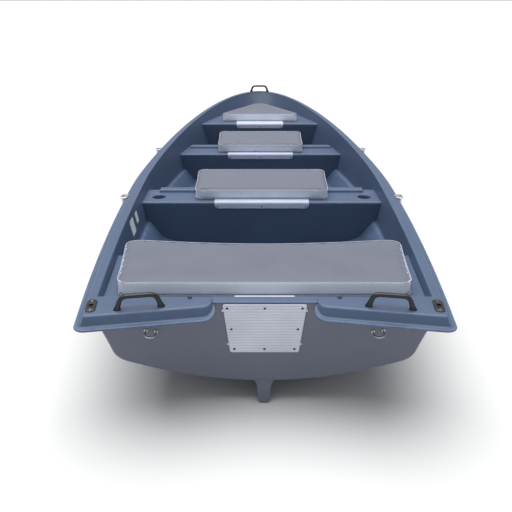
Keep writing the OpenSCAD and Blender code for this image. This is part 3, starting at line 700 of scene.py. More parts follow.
def plate(outline: Array, low: float, high: float, radius: float, paint: int = 0) -> Shape:
    """A flat plate with rounded upper and lower edges: rings of the outline, moved inward by
    a quarter circle at each edge, between two flat faces.

    Args:
        outline: The plate's closed outline.
        low: Height of its lower face.
        high: Height of its upper face.
        radius: Radius of both edges.
        paint: Its finish number.

    Returns:
        The closed plate.
    """
    normal = inward(outline)
    angle = np.radians(np.linspace(0.0, 90.0, 6))
    inset = radius * (1 - np.sin(angle))
    drop = radius * (1 - np.cos(angle))
    rings = [lifted(outline + k * normal, low + d) for k, d in zip(inset, drop)]
    rings += [lifted(outline + k * normal, high - d) for k, d in zip(inset[::-1], drop[::-1])]
    wear_and_groove_shade = np.zeros((len(rings), 1))
    wear_and_groove_shade[-6:] = 0.6
    body = Shape.grid(np.stack(rings), wrap_columns=True, paint=paint, wear_and_groove_shade=wear_and_groove_shade)
    return body + Shape.face(rings[0], paint) + Shape.face(rings[-1], paint)


def washer(
    outer: Array, inner: Array, low: float, high: float, radius: float, dome: float = 0.0
) -> Shape:
    """A plate with a hole: one closed profile, with rounded corners, carried round both
    outlines at once, which pair point by point.

    Args:
        outer: The outer outline.
        inner: The hole's outline, with as many points.
        low: Height of the lower face.
        high: Height of the upper face at its edges.
        radius: Reach of the rounding of its edges.
        dome: Extra height between the two upper edges.

    Returns:
        The closed plate.
    """
    profile = corners(
        np.array([[0.0, low], [0.0, high], [1.0, high], [1.0, low]])
        * [np.linalg.norm(outer - inner, axis=1).min(), 1.0],
        [0.1, radius, radius, 0.1],
        5,
        closed=True,
    )
    share = profile[:, 0] / profile[:, 0].max()
    top = profile[:, 1] > (low + high) / 2
    height = profile[:, 1] + np.where(top, dome * np.sin(np.pi * share) ** 0.7, 0.0)
    plan = outer[None] + (inner - outer)[None] * share[:, None, None]
    grid = np.concatenate(
        [plan, np.broadcast_to(height[:, None, None], (*plan.shape[:2], 1))], axis=2
    )
    return Shape.grid(grid, wrap_rows=True, wrap_columns=True)


def circle(radius: float, count: int = 32, phase: float = 0.0) -> Array:
    """Points of a circle in the plane."""
    angle = np.linspace(0.0, 2 * np.pi, count, endpoint=False) + phase
    return radius * np.stack([np.cos(angle), np.sin(angle)], axis=1)


def lathe(profile: Array, count: int = 24) -> Shape:
    """A profile of radius and height turned about Z, closed at both ends on the axis."""
    ring = circle(1.0, count)
    grid = np.stack([np.column_stack([r * ring, np.full(count, z)]) for r, z in profile])
    return Shape.grid(grid, wrap_columns=True)


def tube(path: Array, radius: Array | float, sides: int = 12, closed: bool = False) -> Shape:
    """A round tube along a path, on frames turned as little as possible: each ring's first
    axis is the last one's, with its part along the path taken off.

    Args:
        path: Points of the centreline.
        radius: One radius, or one for each point.
        sides: Sides of the tube.
        closed: Whether the path is a loop.

    Returns:
        The closed tube.
    """
    if closed:
        along = np.roll(path, -1, axis=0) - np.roll(path, 1, axis=0)
    else:
        along = np.gradient(path, axis=0)
    along /= np.linalg.norm(along, axis=1, keepdims=True)
    first = np.cross(along[0], [0.31, 0.17, 0.93])
    axes = []
    for direction in along:
        first = first - direction * (first @ direction)
        first = first / np.linalg.norm(first)
        axes.append(first)
    first_axes = np.array(axes)
    second_axes = np.cross(along, first_axes)
    ring = circle(1.0, sides)
    size = np.broadcast_to(np.asarray(radius, float), len(path))[:, None, None]
    grid = path[:, None] + size * (
        ring[None, :, :1] * first_axes[:, None] + ring[None, :, 1:] * second_axes[:, None]
    )
    shape = Shape.grid(grid, wrap_rows=closed, wrap_columns=True)
    return shape if closed else shape + Shape.face(grid[0]) + Shape.face(grid[-1])


def zipped(grid: Array) -> Shape:
    """Closes a grid whose first and last rows are points: on each side, a strip joins the
    row that is k from the start to the row that is k from the end."""
    half = (len(grid) + 1) // 2
    shape = Shape.grid(grid)
    for column in (0, -1):
        edge = grid[:, column]
        strip = np.stack([edge[:half], edge[::-1][:half]], axis=1)
        shape = shape + Shape.grid(strip)
    return shape


def screw_head(radius: float = 4.2, height: float = 1.8) -> Shape:
    """A domed screw head standing on the plane, with a drive recess in its middle."""
    profile = np.array(
        [
            [0.0, -0.6], [radius, -0.6], [radius, 0.2 * height], [0.86 * radius, 0.7 * height],
            [0.6 * radius, 0.95 * height], [0.4 * radius, height], [0.34 * radius, 0.45 * height],
            [0.0, 0.35 * height],
        ]
    )
    return lathe(profile, 20)


def gathered(shapes: Iterable[Shape]) -> Shape:
    """Several shapes as one."""
    found = list(shapes)
    total = found[0]
    for shape in found[1:]:
        total = total + shape
    return total


# ---- The boat's lines ----


def bezier(a: Array, b: Array, c: Array, s: Array) -> Array:
    """Quadratic curves from a to c about b, at shares s: stations by shares by three."""
    k = s[..., None]
    return (1 - k) ** 2 * a[:, None] + 2 * k * (1 - k) * b[:, None] + k**2 * c[:, None]


def sine(degrees: Any) -> Any:
    """Sine of degrees."""
    return np.sin(np.radians(degrees))


def cosine(degrees: Any) -> Any:
    """Cosine of degrees."""
    return np.cos(np.radians(degrees))


@dataclass(frozen=True)
class Lines:
    """The boat's lines, the same as the frame's: curves in plan, heights and sections."""

    length: float = 4400.0
    half_beam: float = 837.5
    half_stern: float = 725.0
    wide_station: float = 1770.0
    top: float = 345.0
    keel: float = -75.0
    sag: float = 20.0
    sheer_rise: float = 225.0
    bow_power: float = 0.81
    side_deck: float = 93.0
    lip_drop: float = 50.0
    skin_inset: float = 42.0
    transom_setback: float = 151.0
    rake: float = 7.5
    transom_wall: float = 46.0
    ledge_height: float = 180.0
    floor_edge: float = 75.0
    floor_middle: float = -45.0
    bow_seat: float = 1170.0
    bow_seat_height: float = 415.0
    bench_height: float = 307.0
    aft_deck: float = -2000.0
    bow_wall_fore: float = 1997.0
    liner_end: float = 1200.0

    @property
    def stern(self) -> float:
        """Station of the stern corners."""
        return -self.length / 2

    @property
    def bow(self) -> float:
        """Station of the bow tip."""
        return self.length / 2

    @property
    def wide(self) -> float:
        """The widest station."""
        return self.stern + self.wide_station

    @property
    def transom(self) -> float:
        """Station of the transom's aft face at the top."""
        return self.stern + self.transom_setback

    @property
    def lean(self) -> float:
        """Tangent of the transom's rake."""
        return math.tan(math.radians(self.rake))

    def sheer(self, y: Any) -> Any:
        """Height of the deck edge: it rises with the square of the distance from the stern."""
        return self.top + self.sheer_rise * (np.maximum(0.0, y - self.stern) / self.length) ** 2

    def half_breadth(self, y: Array, wide: float, aft: float, fore_y: float) -> Array:
        """Half-breadth of a plan curve: a parabola aft of the widest station, and forward of
        it a quarter of a superellipse that closes at fore_y."""
        y = np.asarray(y, float)
        share = np.clip((y - self.wide) / (fore_y - self.wide), 0.0, 1.0) ** self.bow_power
        fore = wide * np.sqrt(np.maximum(0.0, 1 - share**2))
        back = wide - (wide - aft) * ((self.wide - y) / (self.wide - self.stern)) ** 2
        return np.where(y >= self.wide, fore, back)

    def bow_point(self, s: Array, wide: float, fore_y: float) -> Array:
        """Point of such a curve at a share s of the quarter turn to the bow."""
        s = np.asarray(s, float)
        y = self.wide + (fore_y - self.wide) * np.clip(sine(90 * s), 0, 1) ** (1 / self.bow_power)
        return np.stack([wide * cosine(90 * s), y], axis=-1)

    def bow_normal(self, s: Array) -> Array:
        """Outward normal of the lip curve forward of the widest station."""
        before = self.bow_point(np.maximum(0.001, s - 0.004), self.half_beam, self.bow)
        after = self.bow_point(np.minimum(1.0, s + 0.004), self.half_beam, self.bow)
        along = after - before
        normal = np.stack([along[..., 1], -along[..., 0]], axis=-1)
        normal /= np.linalg.norm(normal, axis=-1, keepdims=True)
        normal[np.asarray(s) >= 1.0] = (0.0, 1.0)
        return normal

    def bow_rail(self, s: Array, inset: float) -> Array:
        """Lip curve moved inboard, forward of the widest station."""
        plan = self.bow_point(s, self.half_beam, self.bow) - inset * self.bow_normal(s)
        plan[np.asarray(s) >= 1.0] = (0.0, self.bow - inset)
        return plan

    def side_rail(self, y: Array, inset: float) -> Array:
        """Lip curve moved inboard, aft of the widest station."""
        x = self.half_breadth(y, self.half_beam, self.half_stern, self.bow) - inset
        return np.stack([x, np.asarray(y, float)], axis=-1)

    def deck_inner(self, y: Array) -> Array:
        """Half-breadth of the side deck's inner edge."""
        return self.half_breadth(y, 744.5, 654.0, self.bow - self.side_deck)

    def ledge(self, y: Array) -> Array:
        """Half-breadth of the side ledge's outer edge."""
        return self.half_breadth(y, 710.5, 620.0, 1770.0)

    def floor(self, y: Array) -> Array:
        """Half-breadth of the floor's edge."""
        return self.half_breadth(y, 610.5, 520.0, 1680.0)

    def wall(self, y: Array, z: Array) -> Array:
        """Half-breadth of the cockpit wall above the ledge."""
        share = (self.sheer(y) - z) / (self.sheer(y) - self.ledge_height)
        return self.deck_inner(y) + (self.ledge(y) - self.deck_inner(y)) * share

    def cockpit(self, y: Array, top: Array, gap: float) -> Array:
        """Starboard half of the cockpit's section, from the floor's middle to the top.

        Args:
            y: The stations.
            top: Height of the section's end at each station.
            gap: Distance that the section is moved inboard.

        Returns:
            Stations by seven points by three.
        """
        y = np.asarray(y, float)
        top = np.broadcast_to(np.asarray(top, float), y.shape)
        rise = 60 * (np.maximum(0.0, y - self.wide) / (self.bow_seat - self.wide)) ** 2
        edge_x, ledge_x = self.floor(y) - gap, self.ledge(y)
        middle = self.floor_middle + rise
        deep = self.floor_edge + 0.6 * rise - middle
        flat = np.zeros_like(y)
        x = [flat, edge_x * 0.34, edge_x * 0.67, edge_x, ledge_x - 22 - gap, ledge_x - gap,
             self.wall(y, top) - gap]
        z = [middle + gap, middle + deep * 0.12 + gap, middle + deep * 0.45 + gap,
             middle + deep + gap, flat + self.ledge_height + gap,
             flat + self.ledge_height + 3 + gap, top]
        return np.stack([np.stack([a, y, b], axis=-1) for a, b in zip(x, z)], axis=1)

    def transom_face(self, z: Any) -> Any:
        """Station of the transom's aft face at a height."""
        return self.transom + (self.top - z) * self.lean

    def station(self, t: Array, z: Array, fore_y: float) -> Array:
        """Station of a hull line at t: -1 at the transom, 0 at the widest, 1 at the stem."""
        aft = self.transom_face(z) + self.transom_wall / cosine(self.rake) + 0.8
        fore = self.wide + (fore_y - self.wide) * np.clip(sine(90 * t), 0, 1) ** (
            1 / self.bow_power
        )
        return np.where(t < 0, self.wide + t * (self.wide - aft), fore)

    def section(self, t: Array, depth: float, steps: Sequence[int] = (14, 8, 12)) -> Array:
        """Starboard half of the hull's sections, from the keel to the lip.

        Args:
            t: The stations, from -1 to 1.
            depth: Depth below the outer surface.
            steps: Segments of the bottom, the chine and the side.

        Returns:
            Stations by points by three.
        """
        fore, zero = np.maximum(t, 0.0), np.zeros_like(t)
        keel_z = np.where(t < 0, self.keel - self.sag * (1 - t**2), self.keel - self.sag
                          + 160.0 * fore**3)
        keel = np.stack([zero, self.station(t, keel_z, self.bow - 500) - depth * fore,
                         keel_z + depth], axis=-1)
        chine_z = np.where(t < 0, 51.0 + 10 * (1 + t), 61.0 + 204.0 * fore**2.4)
        chine_x = np.where(t < 0, 679.5 - 51.5 * t**2,
                           679.5 * np.clip(cosine(90 * fore), 0, 1) ** 1.15)
        chine = np.stack([np.maximum(chine_x - depth, 0.0),
                          self.station(t, chine_z, self.bow - 180) - depth * fore,
                          chine_z + 0.6 * depth], axis=-1)
        flat_y = self.station(t, zero + self.top - self.lip_drop, self.bow)
        inset = self.skin_inset + depth
        plan = np.where((t < 0)[:, None], self.side_rail(flat_y, inset),
                        self.bow_rail(fore, inset))
        top = np.column_stack([np.maximum(plan[:, 0], 0.0), plan[:, 1],
                               self.sheer(plan[:, 1]) - self.lip_drop - 0.3])
        vee = np.where(t > 0, 0.8 * sine(180 * fore), 0.0)
        low = np.stack([chine[:, 0] / 2, (keel[:, 1] + chine[:, 1]) / 2,
                        keel[:, 2] + vee * (chine[:, 2] - keel[:, 2]) / 2], axis=-1)
        side = (chine + top) / 2
        side[:, 0] -= np.minimum(12 * cosine(90 * fore), side[:, 0])
        end = 1 - 46 / np.linalg.norm(chine - keel, axis=1)
        start = 46 / np.linalg.norm(top - chine, axis=1)
        turn_a = bezier(keel, low, chine, end[:, None])[:, 0]
        turn_b = bezier(chine, side, top, start[:, None])[:, 0]
        shares = [np.linspace(0.0, 1.0, n + 1)[None] for n in steps]
        return np.concatenate([
            bezier(keel, low, chine, end[:, None] * shares[0]),
            bezier(turn_a, chine, turn_b, shares[1] + zero[:, None])[:, 1:],
            bezier(chine, side, top, start[:, None] + (1 - start[:, None]) * shares[2])[:, 1:],
        ], axis=1)

    def transom_axes(self) -> Array:
        """Axes of the transom's aft face: to starboard, up the face, and aft."""
        c, s = cosine(self.rake), sine(self.rake)
        return np.array([[1.0, 0.0, 0.0], [0.0, -s, c], [0.0, -c, -s]])


LINES = Lines()


def both_sides(half: Array) -> Array:
    """A starboard half section, with its port half before it."""
    return np.concatenate([half[:, :0:-1] * [-1.0, 1.0, 1.0], half], axis=1)


def shell(outer: Array, inner: Array, paint: int = 0, wear_and_groove_shade: Array | float = 0.0) -> Shape:
    """A closed wall between two matching grids, with its four edges closed."""
    rims = [
        np.stack([outer[0], inner[0]]), np.stack([outer[-1], inner[-1]]),
        np.stack([outer[:, 0], inner[:, 0]]), np.stack([outer[:, -1], inner[:, -1]]),
    ]
    body = Shape.grid(outer, paint=paint, wear_and_groove_shade=wear_and_groove_shade) + Shape.grid(inner, paint=paint)
    return gathered([body] + [Shape.grid(rim, paint=paint) for rim in rims])


# ---- Outer hull ----


@dataclass
class OuterHull:
    """The outer skin, the transom and the skeg."""

    wall: float = 6.0
    aft_stations: int = 46
    fore_stations: int = 84
    skeg_depth: float = 115.0
    skeg_length: float = 1500.0
    root_width: float = 68.0
    foot_width: float = 48.0

    def skin(self) -> Shape:
        """Sections from the transom to the stem, close together at the bow, as one wall."""
        aft = -1 + np.arange(self.aft_stations) / self.aft_stations
        s = np.linspace(0.0, 1.0, self.fore_stations + 1)
        t = np.concatenate([aft, 1 - (1 - s) ** 1.35])
        wear_and_groove_shade = np.zeros((1, 69))
        wear_and_groove_shade[0, [12, 13, 14, 15, 16, 17, 18, 50, 51, 52, 53, 54, 55, 56]] = 0.45
        return shell(both_sides(LINES.section(t, 0.0)), both_sides(LINES.section(t, self.wall)),
                     wear_and_groove_shade=wear_and_groove_shade)

    def transom(self) -> Shape:
        """The hull's aft section as a thick plate with a soft aft edge, laid on the transom's
        leaning face. Its top is level, just under the deck."""
        half = LINES.section(np.array([-1.0]), 0.0)[0]
        side = np.column_stack([half[:, 0], (half[:, 2] - LINES.top) / cosine(LINES.rake)])
        edge = side[-1, 0]
        head = corners(np.array([side[-2], side[-1], [edge - 24, side[-1, 1]],
                                 [edge - 35, -6.4], [0.0, -6.4]]), [0, 3, 6, 6, 0], 4)
        right = np.vstack([side[:-2], head])
        outline = resampled(np.vstack([right, right[-2:0:-1] * [-1, 1]]), 360, closed=True)
        normal = inward(outline)
        angle = np.radians(np.linspace(0.0, 90.0, 8))
        radius = np.where(outline[:, 1] > -70, 3.0, 13.0)[:, None]
        rings = [lifted(outline, -LINES.transom_wall - 0.7)]
        rings += [
            np.column_stack([outline + radius * (1 - math.cos(a)) * normal,
                             -radius[:, 0] * (1 - math.sin(a))])
            for a in angle
        ]
        wear_and_groove_shade = np.zeros((len(rings), 1))
        wear_and_groove_shade[1:-1] = 0.5
        body = Shape.grid(np.stack(rings), wrap_columns=True, wear_and_groove_shade=wear_and_groove_shade)
        whole = body + Shape.face(rings[0]) + Shape.face(rings[-1])
        return whole.turned(LINES.transom_axes(), (0.0, LINES.transom, LINES.top))

    def skeg(self) -> Shape:
        """Rings along the skeg: flat flanks, a rounded foot and a flared root. The depth
        falls with the power 1.6 of the distance, and the aft edge is drawn in softly."""
        s = np.concatenate([[0.0, 0.0006, 0.002, 0.004], np.linspace(0.01, 1.0, 44)])
        tuck = np.array([5.0, 2.2, 0.7, 0.0] + [0.0] * 44)
        depth = np.maximum(4.0, self.skeg_depth * (1 - s**1.6))
        y = LINES.transom_face(LINES.keel) + s * self.skeg_length
        root_z = LINES.keel - LINES.sag * (
            1 - ((LINES.wide - y) / (LINES.wide - LINES.transom)) ** 2
        )
        slim = 1 - 0.55 * s
        down = np.concatenate([[0.0, 0.04, 0.09, 0.16, 0.26], np.linspace(0.4, 0.86, 5)])
        v = np.concatenate([down, 1 - 0.14 * cosine(np.linspace(15, 90, 6))])
        flank = self.root_width / 2 + (self.foot_width - self.root_width) / 2 * v
        flare = 16.0 * np.maximum(0.0, 1 - v / 0.26) ** 2
        turn = np.sqrt(np.maximum(0.0, 1 - (np.maximum(0.0, v - 0.86) / 0.14) ** 2))
        half = (flank - 10) + 10 * turn + flare
        half[-1] = max(half[-1] - 4, 4)
        x = slim[:, None] * half[None] - tuck[:, None]
        z = (root_z - 1 + 9.0)[:, None] - (depth[:, None] + 9.0 - tuck[:, None]) * v[None]
        right = np.stack([x, np.broadcast_to(y[:, None], x.shape), z], axis=-1)
        grid = np.concatenate([right, right[:, ::-1] * [-1.0, 1.0, 1.0]], axis=1)
        shape = Shape.grid(grid, wrap_columns=True)
        return shape + Shape.face(grid[0]) + Shape.face(grid[-1])

    def build(self) -> None:
        """Makes the three pieces."""
        self.skin().piece("hull_skin", [HULL_GREY], Slot.HULL, ["hull"], 50)
        self.transom().piece("transom_panel", [HULL_GREY], Slot.HULL, ["transom"], 50)
        self.skeg().piece("skeg_fin", [HULL_GREY], Slot.HULL, ["skeg"], 50)


# ---- Gunwale ----


@dataclass
class Gunwale:
    """Deck, sloping face and lip in one moulding round the boat, and the plate over the
    transom in the motor notch."""

    lip_width: float = 23.0
    slope_run: float = 15.0
    slope_drop: float = 40.0
    wall: float = 6.0
    corner_radius: float = 45.0
    sweep: float = 9.5
    notch_half: float = 210.0
    notch_radius: float = 45.0
    skirt: float = 39.0
    rod_hole: float = 12.6

    @property
    def inset(self) -> float:
        """Distance of the deck edge from the lip's outer edge."""
        return self.lip_width + self.slope_run

    @property
    def aft_normal(self) -> Array:
        """Direction aft, square to the swept aft edge."""
        return np.array([-sine(self.sweep), -cosine(self.sweep)])

    @property
    def aft_along(self) -> Array:
        """Direction along the swept aft edge, towards the notch."""
        return np.array([-cosine(self.sweep), sine(self.sweep)])

    @property
    def corner_centre(self) -> Array:
        """Centre of the stern corner's turn."""
        start = LINES.side_rail(np.array([LINES.stern + self.corner_radius * 0.87]), 0.0)[0]
        return start - self.corner_radius * np.array([0.9917, -0.1286])

    @property
    def edge_start(self) -> Array:
        """Outboard end of the straight aft deck edge."""
        return self.corner_centre + (self.corner_radius - self.inset) * self.aft_normal

    @property
    def notch_run(self) -> float:
        """Length of the straight aft deck edge."""
        centre_x = self.notch_half + self.notch_radius
        return (self.edge_start[0] - centre_x - self.notch_radius * self.aft_normal[0]) / cosine(
            self.sweep
        )

    @property
    def notch_centre(self) -> Array:
        """Centre of the deck edge's turn into the notch."""
        end = self.edge_start + self.notch_run * self.aft_along
        return end - self.notch_radius * self.aft_normal

    def stations(self) -> tuple[Array, Array, Array, Array, Array]:
        """Stations of the starboard half, from the notch round to the bow.

        Returns:
            Deck edge points, outboard directions, inner edge points, the share of the lip
            that is left, and the depth of the inner skirt.
        """
        a_aft = math.atan2(self.aft_normal[1], self.aft_normal[0])
        a_side = math.atan2(-0.1286, 0.9917)
        inner_corner = np.array([float(LINES.deck_inner(LINES.aft_deck)) - 3, LINES.aft_deck + 3])

        s = np.linspace(1.0, 0.0, 22)
        turn = a_aft + s * (-math.pi - a_aft)
        out = np.stack([np.cos(turn), np.sin(turn)], axis=1)
        edge = self.notch_centre + self.notch_radius * out
        inner = np.stack([edge[:, 0] + 1 - s, np.full(22, LINES.aft_deck)], axis=1)
        runs = [(edge, out, inner, np.maximum(0.06, cosine(86 * s)), np.full(22, self.skirt))]

        s = np.linspace(1.0, 0.0, 14)[1:-1]
        edge = self.edge_start + s[:, None] * self.notch_run * self.aft_along
        inner = np.stack([edge[:, 0] - 6 - 12 * s, np.full(12, LINES.aft_deck)], axis=1)
        out = np.broadcast_to(self.aft_normal, (12, 2))
        runs.append((edge, out, inner, np.ones(12), np.full(12, self.skirt)))

        s = np.linspace(1.0, 0.0, 20)
        turn = a_side + s * (a_aft - a_side)
        out = np.stack([np.cos(turn), np.sin(turn)], axis=1)
        edge = self.corner_centre + (self.corner_radius - self.inset) * out
        runs.append((edge, out, inner_corner + 3 * out, np.ones(20), np.full(20, self.skirt)))

        first = LINES.aft_deck + 24
        y = np.linspace(first, LINES.wide, 46)[:-1]
        out = np.broadcast_to(np.array([1.0, 0.0]), (45, 2))
        inner = np.stack([LINES.deck_inner(y), y], axis=1)
        runs.append((LINES.side_rail(y, self.inset), out, inner, np.ones(45), np.full(45, 6.2)))

        s = 1 - (1 - np.linspace(0.0, 1.0, 84)) ** 1.2
        inner = LINES.bow_point(s, 744.5, LINES.bow - LINES.side_deck)
        runs.append((LINES.bow_rail(s, self.inset), LINES.bow_normal(s), inner, np.ones(84),
                     np.full(84, 6.2)))
        return tuple(np.concatenate([run[k] for run in runs]) for k in range(5))

    def moulding(self) -> Shape:
        """The profile at each station: inner skirt, deck, rounded shoulder, sloping face,
        fillet, lip with a half-round edge, and back underneath; closed at the notch."""
        edge, out, inner, q, skirt = self.stations()
        across = edge - inner
        across /= np.linalg.norm(across, axis=1, keepdims=True)
        run, drop, lip, wall = self.slope_run, self.slope_drop, self.lip_width, self.wall
        zero = np.zeros_like(q)

        def at(offset: Array, height: Array) -> Array:
            """Points that far outboard of the deck edge, at a height over it."""
            plan = edge + offset[:, None] * out
            return np.column_stack([plan, LINES.sheer(edge[:, 1]) + height])

        def inside(offset: float, height: Array) -> Array:
            """Points that far outboard of the inner edge, at a height over it."""
            plan = inner + offset * across
            return np.column_stack([plan, LINES.sheer(inner[:, 1]) + height])

        points = np.stack([
            inside(0.0, -skirt), inside(0.0, zero), at(zero - 2, zero), at(run * q, -drop * q),
            at((run + lip) * q, -(drop + 1) * q), at((run + lip) * q, -50 * q),
            at(run * q - wall, -50 * q - wall * (1 - q)), at(zero - wall - 2, zero - wall - 1),
            inside(wall, zero - wall), inside(wall, -skirt),
        ], axis=1)
        reach = np.stack([zero + 0.4, zero + 6, zero + 9, 8 * q, 4.6 * q, 4.6 * q, zero + 2,
                          zero + 5, zero + 0.5, zero + 0.4], axis=1)
        ring = corners(points, reach, 6, closed=True)
        wear_and_groove_shade = np.zeros((1, ring.shape[1]))
        wear_and_groove_shade[0, 28:42] = 1.0
        wear_and_groove_shade[0, 15:20] = 0.5
        wear_and_groove_shade[0, 7:13] = 0.4
        port = ring * [-1.0, 1.0, 1.0]
        grid = np.concatenate([port, ring[-2::-1]])
        shape = Shape.grid(grid, wrap_columns=True, wear_and_groove_shade=wear_and_groove_shade)
        return shape + Shape.face(grid[0]) + Shape.face(grid[-1])

    def build(self) -> None:
        """Makes the moulding, cuts the two rod holes, and adds the notch plate."""
        piece = self.moulding().piece("gunwale_moulding", [LINER_BLUE], Slot.LINER,
                                      ["gunwale"], 40)
        cutters = []
        for side in Side:
            place = RodSockets.centre(side)
            drum = lathe(np.array([[0, -60], [self.rod_hole, -60], [self.rod_hole, 30],
                                   [0, 30]]), 32)
            cutters.append(drum.turned(np.eye(3), place))
        carve(piece, cutters, 40)
        front, back = LINES.transom + LINES.transom_wall, self.notch_centre[1] - 8
        half = self.notch_half - 1
        outline = corners(np.array([[-half, back], [half, back], [half, front], [-half, front]]),
                          [4, 4, 4, 4], 4, closed=True)
        lid = plate(resampled(outline, 160, closed=True), LINES.top - 6, LINES.top, 2.4)
        lid.piece("notch_plate", [LINER_BLUE], Slot.LINER, ["stern_deck"], 40)


# ---- Cockpit ----


@dataclass
class Cockpit:
    """The inner moulding: floor, side ledges and walls, and the wall round the bow seat."""

    wall: float = 5.0
    stations: int = 110
    ledge_wear: float = 0.9

    def well(self) -> Shape:
        """Sections of the cockpit with rounded floor edges and ledges, as one wall."""
        y = np.linspace(LINES.aft_deck + 6, LINES.liner_end, self.stations)
        lean = np.maximum(0.0, 1 - np.arange(self.stations) / 9.0)

        def sheet(gap: float) -> Array:
            """The whole sections at a gap inboard of the inner face."""
            half = LINES.cockpit(y, LINES.sheer(y) - 6.0, gap)
            half = corners(half, np.array([0, 60, 60, 26, 12, 16, 0.0]), 6)
            whole = both_sides(half)
            whole[..., 1] += lean[:, None] * (LINES.top - whole[..., 2]) * LINES.lean
            return whole

        inner = sheet(0.0)
        wear_and_groove_shade = np.zeros((1, inner.shape[1]))
        middle = inner.shape[1] // 2
        wear_and_groove_shade[0, middle + 22:middle + 29] = self.ledge_wear
        wear_and_groove_shade[0, middle - 28:middle - 21] = self.ledge_wear
        return shell(inner, sheet(-self.wall), wear_and_groove_shade=wear_and_groove_shade)

    def bow_wall(self) -> Shape:
        """The wall over the bow seat, between the deck's inner curve and the foot curve."""
        start, steps = LINES.liner_end - 0.2, 60
        foot_z = LINES.bow_seat_height + 0.3
        power = LINES.bow_power
        foot_share = ((start - LINES.wide) / (LINES.bow_wall_fore - LINES.wide)) ** power
        top_fore = LINES.bow - LINES.side_deck
        top_share = ((start - LINES.wide) / (top_fore - LINES.wide)) ** power
        foot_wide = float(LINES.wall(start, foot_z)) / math.sqrt(1 - foot_share**2)
        k = np.linspace(0.0, 1.0, steps)

        def rail(share: float, wide: float, fore: float, gap: float) -> Array:
            """A plan curve from the start to the bow."""
            first = math.degrees(math.asin(share)) / 90
            return LINES.bow_point(first + (1 - first) * k, wide + gap, fore + gap)

        def sheet(gap: float) -> Array:
            """Rows along the bow, each from the deck down to the seat with a small cove."""
            top = rail(top_share, 744.5, top_fore, gap)
            foot = rail(foot_share, foot_wide, LINES.bow_wall_fore, gap)
            high = np.column_stack([top, LINES.sheer(top[:, 1]) - 6.0])
            low = np.column_stack([foot, np.full(steps, foot_z)])
            v = np.linspace(0.0, 1.0, 10)[None, :, None]
            return high[:, None] * (1 - v) + low[:, None] * v

        outer, inner = sheet(self.wall), sheet(0.0)
        both = [np.concatenate([g * [-1.0, 1.0, 1.0], g[-2::-1]]) for g in (outer, inner)]
        return shell(both[1], both[0])

    def build(self) -> None:
        """Makes the one inner moulding."""
        (self.well() + self.bow_wall()).piece(
            "cockpit_moulding", [LINER_BLUE], Slot.LINER, ["cockpit_liner", "bow_liner"], 45
        )


